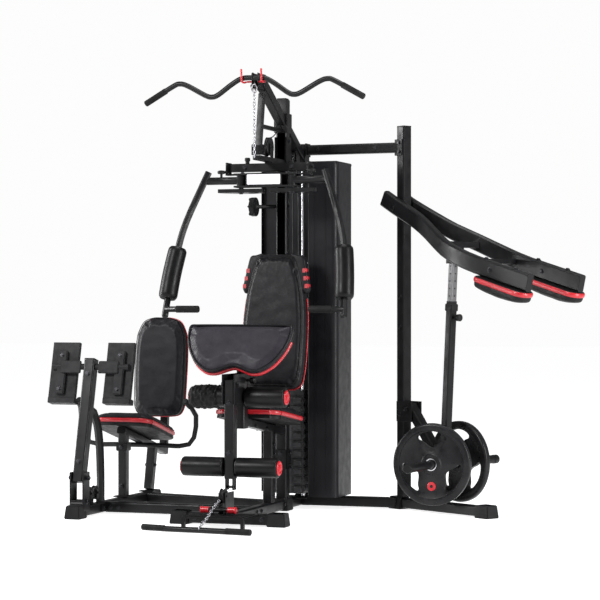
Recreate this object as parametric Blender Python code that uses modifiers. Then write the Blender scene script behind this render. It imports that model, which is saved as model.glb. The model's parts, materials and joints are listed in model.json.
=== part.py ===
"""Multi station home gym: a lat tower with press arm, leg developer and preacher pad in the middle,
a leg press with its own seat on the left (-X), and a lever squat station on the right (+X).

Metres, +Z up. The middle user faces -Y. The origin is on the floor under the main column.
Every solid keeps GAP to its neighbours, so pieces that are welded or bolted together never overlap.
"""

import math

import bmesh
import bpy
from mathutils import Matrix, Vector

# ---------------------------------------------------------------- driving dimensions
GAP = 0.0005
TUBE = 0.050                 # square tube of the base, the boom and the link bars
TUBE_CORNER = 0.006
BASE_LOW = 0.006             # underside of the base tubes, which stand on their feet
BASE_MID = BASE_LOW + TUBE / 2
BASE_TOP = BASE_LOW + TUBE
FOOT_TOP = 0.062
COLUMN = 0.055               # square tube of the main column and of the squat upright
COLUMN_TOP = 1.8555

# Middle station, in the plane x = 0
FRONT_BAR_Y = -0.735
FRONT_BAR_HALF = 0.27
REAR_END_Y = 0.36
CROSS_BEAM_Y = -0.40
SEAT_SLOPE = 0.14            # the seat's front is the higher end
SEAT_WIDTH, SEAT_DEPTH, PAD_THICK = 0.33, 0.39, 0.065
SEAT_MID = (-0.33, 0.487)
SEAT_BEAM_TALL = 0.04
SEAT_POST_Y = -0.20
FRONT_POST_Y = -0.58
BACK_PAD_MID = (-0.1175, 0.93)
BACK_PAD_LEAN = 0.125
BACK_PAD_THICK = 0.06
DEVELOPER_PIVOT = (-0.72, 0.645)
ROLLER_Y_UPPER, ROLLER_Z_UPPER = -0.62, 0.583
ROLLER_Z_LOWER = 0.265
ROLLER_END = 0.235
ROLLER_RADIUS, ROLLER_BORE, AXLE_RADIUS = 0.0475, 0.0138, 0.0125
PREACHER_TOP, PREACHER_BOTTOM = (-0.59, 0.926), (-0.72, 0.71)
PREACHER_THICK = 0.055
PREACHER_POST = 0.036

# Head of the tower
BOOM_Z0, BOOM_SLOPE = 1.90, 0.55      # height of the boom's centre line over the column, and its fall per metre
BOOM_FRONT_Y, BOOM_REAR_Y = -0.315, 0.31
CROSSPIECE_Y, CROSSPIECE_Z, CROSSPIECE_HALF = -0.19, 1.675, 0.20
PRESS_TUBE_Y, PRESS_TUBE_Z = -0.237, 1.611
FLY_PIVOT_X = 0.13
LINK_BAR_Z = 1.79
LAT_BAR_Y = -0.425
PULLEY_WIDTH, AXLE_STUB, AXLE_BORE = 0.018, 0.0055, 0.0066
HIGH_PULLEY = (-0.362, 2.070)
TOP_PULLEY = (-0.202, 1.774)
LOW_PULLEY = (-0.815, 0.140)

# Weight stack behind the column
STACK_Y = 0.15
PLATE_HALF_X, PLATE_HALF_Y, PLATE_PITCH = 0.075, 0.055, 0.044
STACK_BOTTOM = 0.075
PLATES_RESTING, PLATES_SELECTED = 8, 3
GUIDE_X, GUIDE_RADIUS, GUIDE_TOP = 0.055, 0.0095, 1.6995

# Leg press on the left
PRESS_X = -0.79
LEVER_PIVOT = (-0.66, 0.19)
LEVER_TOP = (-0.5253, 0.745)
LEVER_TUBE = 0.055
FOOT_TUBE = (-0.533, 0.713)
SIDE_SEAT_SLOPE = 0.257
SIDE_SEAT_MID = (-0.005, 0.3975)
SIDE_SEAT_WIDTH, SIDE_SEAT_DEPTH = 0.32, 0.38
SIDE_BACK_MID = (0.33, 0.69)
SIDE_BACK_LEAN = 0.105

# Squat station on the right: s runs from the upright to its foot, t across it, away from the middle seat
SQUAT_AT = Vector((0.545, 0.26, 0.0))
SQUAT_TURN = math.radians(-32)
UPRIGHT_TOP = 1.89
ARM_PIVOT = (0.0, 1.49)
STRUT_TOP = (0.3575, 1.235)
LEVER_AXIS = (0.058, 0.50)
STRUT_BOTTOM = (0.30, 0.31)
HUB = (0.272, 0.245)
HORN_RADIUS = 0.021
HORNS = {"near": (Vector((-0.105, -0.995, 0.0)).normalized(), 0.44),
         "far": (Vector((0.515, 0.858, 0.0)).normalized(), 0.38)}
DISC_RADIUS, DISC_THICK, DISC_AT = 0.198, 0.036, 0.123
HORN_COLLAR_RADIUS, HORN_COLLAR_LENGTH = 0.033, 0.0134
ARM_HALF_WIDE, ARM_HALF_TALL = 0.019, 0.041
ROW_PEG_REACH, ROW_PEG_Z, ROW_PEG_RADIUS = 0.082, 0.082, 0.0095

# Finishes: colour, roughness, metallic
BLACK_STEEL = ((0.020, 0.020, 0.022, 1), 0.42, 0.35)
CHROME = ((0.75, 0.75, 0.76, 1), 0.12, 1.0)
VINYL = ((0.018, 0.017, 0.020, 1), 0.48, 0.0)
FOAM = ((0.012, 0.012, 0.013, 1), 0.38, 0.0)
RUBBER = ((0.022, 0.022, 0.023, 1), 0.62, 0.0)
GREY_PLASTIC = ((0.05, 0.05, 0.055, 1), 0.55, 0.0)
SHEET_STEEL = ((0.028, 0.028, 0.032, 1), 0.35, 0.4)
CHAIN_STEEL = ((0.55, 0.55, 0.56, 1), 0.3, 1.0)

for old in list(bpy.data.objects):
    bpy.data.objects.remove(old)


def new_collection(name):
    made = bpy.data.collections.new(name)
    bpy.context.scene.collection.children.link(made)
    return made


PARTS = new_collection("multi_station_gym")
CUTTERS = new_collection("cutters")


# ---------------------------------------------------------------- modelling tools
def finish_material(name, finish):
    colour, roughness, metallic = finish
    material = bpy.data.materials.new(name)
    material.use_nodes = True
    shader = material.node_tree.nodes["Principled BSDF"]
    shader.inputs["Base Color"].default_value = colour
    shader.inputs["Roughness"].default_value = roughness
    shader.inputs["Metallic"].default_value = metallic
    return material


def add_object(name, data, finish):
    """The object of this mesh or curve, as a part if it has a finish and as a cutter if it has none."""
    obj = bpy.data.objects.new(name, data)
    if finish is None:
        make_cutter(obj)
    else:
        PARTS.objects.link(obj)
        data.materials.append(finish_material(name, finish))
    return obj


def make_cutter(obj):
    for collection in list(obj.users_collection):
        collection.objects.unlink(obj)
    CUTTERS.objects.link(obj)
    obj.hide_render = True
    obj.display_type = "WIRE"


def from_bmesh(name, bm, finish, matrix=None, smooth=False):
    bmesh.ops.recalc_face_normals(bm, faces=bm.faces)
    mesh = bpy.data.meshes.new(name)
    bm.to_mesh(mesh)
    bm.free()
    if smooth:
        mesh.shade_smooth()
        mesh.set_sharp_from_angle(angle=math.radians(40))
    obj = add_object(name, mesh, finish)
    if matrix is not None:
        obj.matrix_world = matrix
    return obj


def aligned(origin, along, up=Vector((0, 0, 1))):
    """A matrix at origin whose X axis lies along a direction and whose Z axis is as near to up as it can be."""
    x = Vector(along).normalized()
    if abs(x.dot(up)) > 0.999:
        up = Vector((0, 1, 0))
    y = Vector(up).cross(x).normalized()
    z = x.cross(y)
    matrix = Matrix((x, y, z)).transposed().to_4x4()
    matrix.translation = Vector(origin)
    return matrix


def beam(name, start, end, finish, wide=TUBE, tall=TUBE, corner=TUBE_CORNER, grow=0.0):
    """A square tube from start to end with its long edges rounded. grow swells it, for a cutter."""
    start, end = Vector(start), Vector(end)
    length = (end - start).length
    bm = bmesh.new()
    bmesh.ops.create_cube(bm, size=1.0)
    size = Vector((length + 2 * grow, wide + 2 * grow, tall + 2 * grow))
    bmesh.ops.scale(bm, vec=size, verts=bm.verts)
    long_edges = [e for e in bm.edges if abs((e.verts[0].co - e.verts[1].co).x) > length / 2]
    if corner:
        bmesh.ops.bevel(bm, geom=long_edges, offset=corner, segments=1, affect="EDGES")
    return from_bmesh(name, bm, finish, aligned((start + end) / 2, end - start))


def block(name, low, high, finish, spread=0.0):
    """An upright box from corner to corner. spread widens its bottom, as on a rubber foot."""
    low, high = Vector(low), Vector(high)
    bm = bmesh.new()
    bmesh.ops.create_cube(bm, size=1.0)
    bmesh.ops.scale(bm, vec=high - low, verts=bm.verts)
    for vert in bm.verts:
        if vert.co.z < 0:
            vert.co.x += math.copysign(spread, vert.co.x)
            vert.co.y += math.copysign(spread, vert.co.y)
    return from_bmesh(name, bm, finish, Matrix.Translation((low + high) / 2))


def turned(name, profile, start, along, finish, sides=20):
    """A solid of revolution: profile is (distance along, radius) pairs in order, closed if it ends where it starts."""
    bm = bmesh.new()
    verts = [bm.verts.new((x, 0, r)) for x, r in profile]
    edges = [bm.edges.new(pair) for pair in zip(verts, verts[1:])]
    if profile[0][1] > 0:
        edges.append(bm.edges.new((verts[-1], verts[0])))
    bmesh.ops.spin(bm, geom=verts + edges, cent=(0, 0, 0), axis=(1, 0, 0), angle=2 * math.pi, steps=sides)
    bmesh.ops.remove_doubles(bm, verts=bm.verts, dist=1e-5)
    return from_bmesh(name, bm, finish, aligned(start, along), smooth=True)


def rod(name, start, end, radius, finish, sides=16):
    start, end = Vector(start), Vector(end)
    length = (end - start).length
    return turned(name, [(0, 0), (0, radius), (length, radius), (length, 0)], start, end - start, finish, sides)


def sleeve(name, start, end, outer, inner, finish, edge=0.008, sides=20):
    """A thick tube with rounded outer rims, such as a foam roller."""
    start, end = Vector(start), Vector(end)
    length = (end - start).length
    profile = [(0, inner), (0, outer - edge), (edge, outer), (length - edge, outer), (length, outer - edge),
               (length, inner)]
    return turned(name, profile, start, end - start, finish, sides)


def smooth_path(points, step):
    """Points about a step apart on one smooth curve (Catmull-Rom) through the route's own points."""
    route = [Vector(p) for p in points]
    route = [2 * route[0] - route[1]] + route + [2 * route[-1] - route[-2]]
    path = []
    for a, b, c, d in zip(route, route[1:], route[2:], route[3:]):
        count = max(1, round((c - b).length / step))
        for i in range(count):
            u = i / count
            path.append(0.5 * ((2 * b) + (c - a) * u + (2 * a - 5 * b + 4 * c - d) * u * u
                               + (3 * b - a - 3 * c + d) * u ** 3))
    return path + [route[-2]]


def curve_data(name, points, cyclic=False, flat=False):
    data = bpy.data.curves.new(name, "CURVE")
    data.dimensions = "2D" if flat else "3D"
    spline = data.splines.new("POLY")
    spline.points.add(len(points) - 1)
    for place, point in zip(spline.points, points):
        place.co = (*point, 0.0, 1.0) if flat else (*point, 1.0)
    spline.use_cyclic_u = cyclic
    return data


def as_mesh(obj, finish=None):
    """A mesh object with the curve's evaluated shape, its caps welded on, in place of the curve."""
    bpy.context.view_layer.update()
    graph = bpy.context.evaluated_depsgraph_get()
    mesh = bpy.data.meshes.new_from_object(obj.evaluated_get(graph))
    bm = bmesh.new()
    bm.from_mesh(mesh)
    bmesh.ops.remove_doubles(bm, verts=bm.verts, dist=1e-5)
    name, matrix = obj.name, obj.matrix_world.copy()
    bpy.data.objects.remove(obj)
    bpy.data.meshes.remove(mesh)
    return from_bmesh(name, bm, finish, matrix, smooth=True)


def bent_tube(name, points, radius, finish, step=0.05, resolution=2):
    """A round tube along a smooth route, as a mesh."""
    data = curve_data(name, smooth_path(points, step))
    data.bevel_depth = radius
    data.bevel_resolution = resolution
    data.use_fill_caps = True
    return as_mesh(add_object(name, data, BLACK_STEEL), finish)


def flat_pad(name, outline, thick, matrix, finish):
    """A cushion's plain solid: an outline in its own XY plane, as thick as the cushion."""
    data = curve_data(name, outline, cyclic=True, flat=True)
    data.fill_mode = "BOTH"
    data.extrude = thick / 2
    obj = add_object(name, data, finish)
    obj.matrix_world = matrix
    return as_mesh(obj, finish)


def rounded_outline(half_wide, half_long, radius, steps=4):
    """A rectangle's outline with round corners."""
    outline = []
    for corner, (sx, sy) in enumerate(((1, 1), (-1, 1), (-1, -1), (1, -1))):
        for i in range(steps + 1):
            angle = math.pi / 2 * (corner + i / steps)
            outline.append((sx * (half_wide - radius) + radius * math.cos(angle),
                            sy * (half_long - radius) + radius * math.sin(angle)))
    return outline


def mirrored_outline(half, step):
    """A smooth closed outline from the points of its right half, which run from the bottom centre to the top."""
    right = [(p.x, p.y) for p in smooth_path([(x, y, 0) for x, y in half], step)]
    left = [(-x, y) for x, y in reversed(right) if x > 1e-6]
    return right + left


def boolean(base, other, operation):
    modifier = base.modifiers.new(f"{operation.lower()}_{other.name}", "BOOLEAN")
    modifier.operation = operation
    modifier.object = other
    modifier.solver = "EXACT"


def join(base, *others):
    """Welds the other solids onto base."""
    for other in others:
        make_cutter(other)
        boolean(base, other, "UNION")
    return base


def cut(base, *others):
    for other in others:
        make_cutter(other)
        boolean(base, other, "DIFFERENCE")
    return base


def body(name, at, *members):
    """An empty on a joint's axis that carries the pieces which move together."""
    empty = bpy.data.objects.new(name, None)
    PARTS.objects.link(empty)
    empty.location = at
    empty.matrix_world = Matrix.Translation(at)
    bpy.context.view_layer.update()
    for member in members:
        member.parent = empty
        member.matrix_parent_inverse = empty.matrix_world.inverted()
    return empty


def squat(s, t, z):
    """A point of the squat station in the gym's own frame."""
    turn = Matrix.Rotation(SQUAT_TURN, 4, "Z")
    return SQUAT_AT + turn @ Vector((s, t, 0)) + Vector((0, 0, z))


def upright_tube(name, low, high, finish, **options):
    """The squat station's upright, turned with the station, between two heights."""
    tube = beam(name, (0, 0, low), (0, 0, high), finish, COLUMN, COLUMN, **options)
    tube.matrix_world = Matrix.Translation(SQUAT_AT) @ Matrix.Rotation(SQUAT_TURN, 4, "Z") @ tube.matrix_world
    return tube


# ---------------------------------------------------------------- base
def foot(name, at, length=0.075, wide=0.064, turn=0.0):
    """A rubber-shod foot around a base tube."""
    half = Vector((wide / 2, length / 2, 0))
    made = block(name, -half, half + Vector((0, 0, FOOT_TOP)), None, spread=0.005)
    made.matrix_world = (Matrix.Translation(at) @ Matrix.Rotation(turn, 4, "Z")
                         @ Matrix.Translation((0, 0, FOOT_TOP / 2)))
    return made


def base_tube(name, start, end, finish=BLACK_STEEL, **options):
    return beam(name, (*start, BASE_MID), (*end, BASE_MID), finish, **options)


def build_base():
    main = base_tube("main_base_beam", (0, FRONT_BAR_Y + TUBE / 2 + GAP), (0, REAR_END_Y))
    join(main, foot("centre_foot", (0, 0, 0)), foot("rear_foot", (0, REAR_END_Y - 0.035, 0)),
         block("rod_footing", (-0.08, STACK_Y - 0.03, 0.048), (0.08, STACK_Y + 0.03, 0.060), None))
    front = base_tube("front_foot_bar", (-FRONT_BAR_HALF, FRONT_BAR_Y), (FRONT_BAR_HALF, FRONT_BAR_Y))
    for side in (-1, 1):
        inner, outer = sorted((side * (PULLEY_WIDTH / 2 + 0.0035), side * (PULLEY_WIDTH / 2 + 0.0085)))
        join(front, foot(f"front_foot_{side}", (side * (FRONT_BAR_HALF - 0.032), FRONT_BAR_Y, 0), turn=math.pi / 2),
             block(f"low_pulley_cheek_{side}", (inner, -0.832, 0.0570), (outer, FRONT_BAR_Y + 0.012, 0.155), None))
    join(front, block("low_pulley_foot", (-0.0172, FRONT_BAR_Y - 0.022, 0.050),
                      (0.0172, FRONT_BAR_Y + 0.020, 0.075), None))
    cut(front, axle_bore("low_pulley_bore", LOW_PULLEY))

    left = base_tube("press_base_beam", (PRESS_X, -0.74), (PRESS_X, 0.25))
    join(left, foot("press_foot", (PRESS_X, -0.705, 0)), foot("side_rear_foot", (PRESS_X, 0.215, 0)))
    pivot_y, pivot_z = LEVER_PIVOT
    for side in (-1, 1):
        inner, outer = sorted((PRESS_X + side * 0.029, PRESS_X + side * 0.037))
        join(left, block(f"press_clevis_{side}", (inner, pivot_y - 0.036, 0.030),
                         (outer, pivot_y + 0.036, pivot_z + 0.028), None))
    for end_y in (-1, 1):
        join(left, block(f"press_clevis_foot_{end_y}", (PRESS_X - 0.036, pivot_y + end_y * 0.030 - 0.006, 0.050),
                         (PRESS_X + 0.036, pivot_y + end_y * 0.030 + 0.006, 0.085), None))
    cut(left, rod("press_pivot_bore", (PRESS_X - 0.06, pivot_y, pivot_z), (PRESS_X + 0.06, pivot_y, pivot_z),
                  0.0104, None))

    half = TUBE / 2 + GAP
    base_tube("left_cross_beam", (PRESS_X + half, CROSS_BEAM_Y), (-half, CROSS_BEAM_Y))
    brace_ends = (PRESS_X, 0.12), (0.0, -0.085)
    brace = base_tube("left_brace_beam", *brace_ends)
    cut(brace, base_tube("brace_cut_left", (PRESS_X, -0.3), (PRESS_X, 0.4), None, corner=0, grow=GAP),
        base_tube("brace_cut_right", (0, -0.4), (0, 0.3), None, corner=0, grow=GAP))

    squat_base = beam("squat_base_beam", squat(-0.07, 0, BASE_MID), squat(0.62, 0, BASE_MID), BLACK_STEEL)
    join(squat_base, foot("squat_foot", squat(0.585, 0, 0), turn=SQUAT_TURN - math.pi / 2),
         foot("upright_foot", squat(-0.035, 0, 0), turn=SQUAT_TURN - math.pi / 2))
    link = base_tube("rear_link_beam", (0, 0.245), (SQUAT_AT.x, SQUAT_AT.y))
    cut(link, base_tube("link_cut_main", (0, 0.1), (0, 0.4), None, corner=0, grow=GAP),
        foot("link_cut_foot", squat(-0.035, 0, 0), length=0.086, wide=0.076, turn=SQUAT_TURN - math.pi / 2),
        beam("link_cut_squat", squat(-0.07, 0, BASE_MID), squat(0.5, 0, BASE_MID), None, corner=0, grow=GAP))

    rest = block("foot_rest", (-0.15, -0.955, 0.046), (0.15, FRONT_BAR_Y - TUBE / 2 - GAP, 0.056), BLACK_STEEL)
    join(rest, rod("row_peg_bar", (-ROW_PEG_REACH, -0.875, ROW_PEG_Z), (ROW_PEG_REACH, -0.875, ROW_PEG_Z),
                   ROW_PEG_RADIUS, None),
         block("row_peg_stand_l", (-0.034, -0.882, 0.050), (-0.026, -0.868, ROW_PEG_Z), None),
         block("row_peg_stand_r", (0.026, -0.882, 0.050), (0.034, -0.868, ROW_PEG_Z), None),
         block("rest_leg_l", (-0.15, -0.955, 0.0), (-0.135, -0.935, 0.050), None),
         block("rest_leg_r", (0.135, -0.955, 0.0), (0.15, -0.935, 0.050), None))


# ---------------------------------------------------------------- tower
def boom_z(y):
    return BOOM_Z0 - BOOM_SLOPE * y


def build_tower():
    half = COLUMN / 2
    column = beam("main_column", (0, 0, BASE_TOP + 0.0065), (0, 0, COLUMN_TOP), BLACK_STEEL, COLUMN, COLUMN)
    join(column, block("pad_block_low", (-0.02, -0.108, 0.70), (0.02, -0.02, 0.74), None),
         block("pad_block_high", (-0.02, -0.052, 1.12), (0.02, -0.02, 1.16), None))
    cut(column, rod("knob_bore", (-0.06, 0, 1.495), (0.06, 0, 1.495), 0.0104, None))

    boom = beam("top_boom", (0, BOOM_FRONT_Y, boom_z(BOOM_FRONT_Y)), (0, BOOM_REAR_Y, boom_z(BOOM_REAR_Y)),
                BLACK_STEEL)
    join(boom, block("boom_collar", (-0.035, -0.035, COLUMN_TOP + GAP), (0.035, 0.035, 1.95), None),
         block("column_stub", (-half, -half, 1.90), (half, half, 2.02), None),
         block("rear_bracket", (-0.03, 0.25, 1.72), (0.03, 0.32, 1.82), None),
         block("rod_holder", (-0.08, STACK_Y - 0.025, GUIDE_TOP + GAP), (0.08, STACK_Y + 0.025, 1.712), None))
    for side in (-1, 1):
        inner, outer = sorted((side * 0.0125, side * 0.0165))
        join(boom, block(f"head_plate_{side}", (inner, -0.402, 2.035), (outer, BOOM_FRONT_Y + 0.03, 2.112), None),
             block(f"rear_pulley_plate_{side}", (inner, 0.157, 1.705), (outer, 0.215, 1.79), None))
    cut(boom, rod("lift_cable_way", (0, STACK_Y, 1.69), (0, STACK_Y, 1.72), 0.008, None),
        axle_bore("high_pulley_bore", HIGH_PULLEY))

    cross = block("top_crosspiece", (-CROSSPIECE_HALF, CROSSPIECE_Y - 0.02, CROSSPIECE_Z - 0.02),
                  (CROSSPIECE_HALF, CROSSPIECE_Y + 0.02, CROSSPIECE_Z + 0.02), BLACK_STEEL)
    join(cross, block("cross_rise", (-0.02, CROSSPIECE_Y - 0.018, 1.68), (0.02, CROSSPIECE_Y + 0.018, 1.715), None),
         block("head_arm", (-0.02, -0.375, 1.700), (0.02, -half - GAP, 1.722), None))
    for side in (-1, 1):
        inner, outer = sorted((side * 0.0125, side * 0.0175))
        join(cross, block(f"top_pulley_plate_{side}", (inner, -0.222, 1.71), (outer, -0.182, 1.79), None))
    cut(cross, axle_bore("top_pulley_bore", TOP_PULLEY), rod("press_axle_bore_l", (-0.22, CROSSPIECE_Y, CROSSPIECE_Z), (-0.16, CROSSPIECE_Y, CROSSPIECE_Z),
                   0.0104, None),
        rod("press_axle_bore_r", (0.16, CROSSPIECE_Y, CROSSPIECE_Z), (0.22, CROSSPIECE_Y, CROSSPIECE_Z),
            0.0104, None))

    post = beam("front_post", (0, -0.352, 1.7285), (0, -0.300, 2.020), BLACK_STEEL, 0.03, 0.03, 0.004)
    join(post, beam("post_tie", (0, -0.322, 1.865), (0, -0.0355, 1.865), None, 0.02, 0.02, 0.003))

    link = beam("top_link_bar", (0.0325, 0.285, LINK_BAR_Z), (SQUAT_AT.x, SQUAT_AT.y, LINK_BAR_Z), BLACK_STEEL)
    cut(link, upright_tube("upright_cut", 1.7, 1.88, None, corner=0, grow=GAP))


def sheet_shroud(name, outline, low, high):
    """A bent sheet-steel cover: an open line in plan, raised and thickened."""
    bm = bmesh.new()
    rows = [[bm.verts.new((x, y, z)) for x, y in outline] for z in (low, high)]
    for i in range(len(outline) - 1):
        bm.faces.new((rows[0][i], rows[0][i + 1], rows[1][i + 1], rows[1][i]))
    obj = from_bmesh(name, bm, SHEET_STEEL)
    thick = obj.modifiers.new("sheet", "SOLIDIFY")
    thick.thickness = 0.003
    thick.offset = 0.0
    return obj


def arc(centre, radius, first, last, steps=4):
    angles = [math.radians(first + (last - first) * i / steps) for i in range(steps + 1)]
    return [(centre[0] + radius * math.cos(a), centre[1] + radius * math.sin(a)) for a in angles]


def build_shrouds():
    line = [(0.110, 0.085)] + arc((0.125, 0.065), 0.015, 180, 270, 2) + arc((0.233, 0.080), 0.030, 270, 360)
    line += arc((0.233, 0.273), 0.030, 0, 90) + arc((-0.195, 0.288), 0.015, 90, 180, 2) + [(-0.210, 0.270)]
    sheet_shroud("stack_shroud", line, 0.064, 1.714)


def plate_block(name, count, bottom, finish):
    """A block of cast plates lying on each other, with a groove around each join."""
    bm = bmesh.new()
    rings = []
    groove, chamfer = 0.004, 0.003
    for i in range(count):
        z = i * PLATE_PITCH
        levels = [(z, groove), (z + chamfer, 0), (z + PLATE_PITCH - chamfer, 0), (z + PLATE_PITCH, groove)]
        for height, inset in levels[1 if i else 0:]:
            x, y = PLATE_HALF_X - inset, PLATE_HALF_Y - inset
            rings.append([bm.verts.new((sx * x, sy * y, height)) for sx, sy in ((-1, -1), (1, -1), (1, 1), (-1, 1))])
    for low, high in zip(rings, rings[1:]):
        for i in range(4):
            bm.faces.new((low[i], low[(i + 1) % 4], high[(i + 1) % 4], high[i]))
    bm.faces.new(rings[0])
    bm.faces.new(rings[-1])
    obj = from_bmesh(name, bm, finish, Matrix.Translation((0, STACK_Y, bottom)))
    low, high = bottom - 0.02, bottom + count * PLATE_PITCH + 0.02
    for x, radius in ((-GUIDE_X, 0.0112), (0, 0.0115), (GUIDE_X, 0.0112)):
        cut(obj, rod(f"{name}_way_{x:.2f}", (x, STACK_Y, low), (x, STACK_Y, high), radius, None, 12))
    return obj


def build_stack():
    for side, name in ((-1, "left"), (1, "right")):
        rod(f"guide_rod_{name}", (side * GUIDE_X, STACK_Y, 0.0605), (side * GUIDE_X, STACK_Y, GUIDE_TOP),
            GUIDE_RADIUS, CHROME, 12)
    plate_block("weight_plates_resting", PLATES_RESTING, STACK_BOTTOM, RUBBER)
    selected_bottom = STACK_BOTTOM + PLATES_RESTING * PLATE_PITCH + GAP
    selected = plate_block("weight_plates_selected", PLATES_SELECTED, selected_bottom, RUBBER)
    pin_z = selected_bottom + PLATE_PITCH / 2
    cut(selected, rod("pin_way", (0, STACK_Y - 0.07, pin_z), (0, STACK_Y, pin_z), 0.0062, None, 10))
    top_z = selected_bottom + PLATES_SELECTED * PLATE_PITCH + GAP
    top = block("weight_top_plate", (-PLATE_HALF_X, STACK_Y - PLATE_HALF_Y, top_z),
                (PLATE_HALF_X, STACK_Y + PLATE_HALF_Y, top_z + 0.028), BLACK_STEEL)
    for x in (-GUIDE_X, GUIDE_X):
        cut(top, rod(f"top_way_{x:.2f}", (x, STACK_Y, top_z - 0.01), (x, STACK_Y, top_z + 0.04), 0.0112, None, 12))
    join(top, rod("selector_rod", (0, STACK_Y, 0.11), (0, STACK_Y, top_z + 0.085), 0.010, None, 12))
    cable_low = top_z + 0.0855
    pin_at = (0, STACK_Y - PLATE_HALF_Y - 0.0185, pin_z)
    pin = turned("selector_pin", [(0, 0), (0, 0.013), (0.016, 0.013), (0.018, 0.005), (0.060, 0.005), (0.060, 0)],
                 pin_at, (0, 1, 0), CHROME, 12)
    rod("lift_cable", (0, STACK_Y, cable_low), (0, STACK_Y, 1.725), 0.0028, BLACK_STEEL, 8)
    body("weights", (0, STACK_Y, STACK_BOTTOM), top, selected)
    body("pin", pin_at, pin)


def pulley(name, place, radius):
    """A grooved wheel at (y, z) with an axle stub on each side."""
    half, stub = PULLEY_WIDTH / 2, PULLEY_WIDTH / 2 + 0.012
    at = (0, *place)
    profile = [(-stub, 0), (-stub, AXLE_STUB), (-half, AXLE_STUB), (-half, radius), (-0.002, radius - 0.006),
               (0.002, radius - 0.006), (half, radius), (half, AXLE_STUB), (stub, AXLE_STUB), (stub, 0)]
    body(f"{name}_axle", at, turned(name, profile, at, (1, 0, 0), GREY_PLASTIC, 20))


def axle_bore(name, place):
    return rod(name, (-0.04, *place), (0.04, *place), AXLE_BORE, None)


def build_head_pieces():
    pulley("high_pulley", HIGH_PULLEY, 0.038)
    pulley("top_pulley", TOP_PULLEY, 0.047)
    pulley("low_pulley", LOW_PULLEY, 0.035)
    knob = turned("adjuster_knob", [(0, 0), (0, 0.036), (0.006, 0.047), (0.028, 0.047), (0.034, 0.030),
                                    (0.040, 0.0095), (0.172, 0.0095), (0.172, 0)],
                  (-0.168, 0, 1.495), (1, 0, 0), GREY_PLASTIC, 20)
    body("knob_axle", (-0.168, 0, 1.495), knob)

    half_bar = [(0.0, 2.085), (0.055, 2.083), (0.105, 2.058), (0.175, 2.010), (0.206, 2.000), (0.240, 2.008),
                (0.330, 2.056), (0.372, 2.068), (0.410, 2.056), (0.545, 1.980)]
    route = [(-x, LAT_BAR_Y, z) for x, z in reversed(half_bar[1:])] + [(x, LAT_BAR_Y, z) for x, z in half_bar]
    lat = bent_tube("lat_bar", route, 0.0125, BLACK_STEEL, step=0.04)
    body("lat_bar_lift", (0, LAT_BAR_Y, 2.085), lat)
    bent_tube("high_chain", [(0, -0.4065, 2.040), (0, -0.4065, 1.90), (0, -0.4065, 1.715)], 0.0055, CHAIN_STEEL,
              step=0.05)

    route = [(-0.29, -1.065, 0.0135), (-0.15, -1.095, 0.0135), (0.0, -1.105, 0.0135), (0.25, -1.135, 0.0135)]
    low_bar = bent_tube("low_bar", route, 0.0130, BLACK_STEEL)
    chain = bent_tube("low_chain", [(0, -0.862, 0.126), (0, -0.93, 0.100), (0, -1.02, 0.058), (0, -1.085, 0.035)],
                      0.0055, CHAIN_STEEL, step=0.03)
    body("low_bar_pull", (0, -1.105, 0.0135), low_bar, chain)


# ---------------------------------------------------------------- press arm with its two fly arms
FLY_ROUTE = [(0.297, -0.240, 1.655), (0.335, -0.262, 1.560), (0.373, -0.290, 1.460), (0.402, -0.312, 1.370),
             (0.420, -0.330, 1.285), (0.437, -0.368, 1.160), (0.446, -0.402, 1.040), (0.450, -0.425, 0.958)]
FLY_RADIUS = 0.0165
FLY_FOAM = (4, 7)            # the route's points between which the foam sits


def build_press_arm():
    y, z = PRESS_TUBE_Y, PRESS_TUBE_Z
    arm = block("press_arm_bracket", (-0.16, y - 0.025, z - 0.034), (0.16, y + 0.037, z + 0.034), BLACK_STEEL)
    cut(arm, block("bracket_slot", (-0.17, y - 0.04, z - 0.0255), (0.17, y + 0.029, z + 0.0255), None),
        block("bracket_notch", (-0.035, y - 0.04, z + 0.020), (0.035, y + 0.029, z + 0.040), None))
    join(arm, block("hanger_plate", (-0.2115, y + 0.0, z + 0.026), (0.2115, y + 0.037, z + 0.034), None))
    for side in (-1, 1):
        inner, outer = sorted((side * 0.2035, side * 0.2115))
        join(arm, block(f"hanger_{side}", (inner, y + 0.002, z + 0.027), (outer, y + 0.065, CROSSPIECE_Z + 0.025),
                        None),
             rod(f"press_axle_{side}", (side * 0.222, CROSSPIECE_Y, CROSSPIECE_Z),
                 (side * 0.17, CROSSPIECE_Y, CROSSPIECE_Z), 0.0098, None))
        cut(arm, rod(f"fly_bore_{side}", (side * FLY_PIVOT_X, y, z - 0.05), (side * FLY_PIVOT_X, y, z - 0.01),
                     0.0122, None))
    body("press_arm", (0, CROSSPIECE_Y, CROSSPIECE_Z), arm)
    for side, name in ((-1, "left"), (1, "right")):
        build_fly_arm(side, name)


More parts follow.
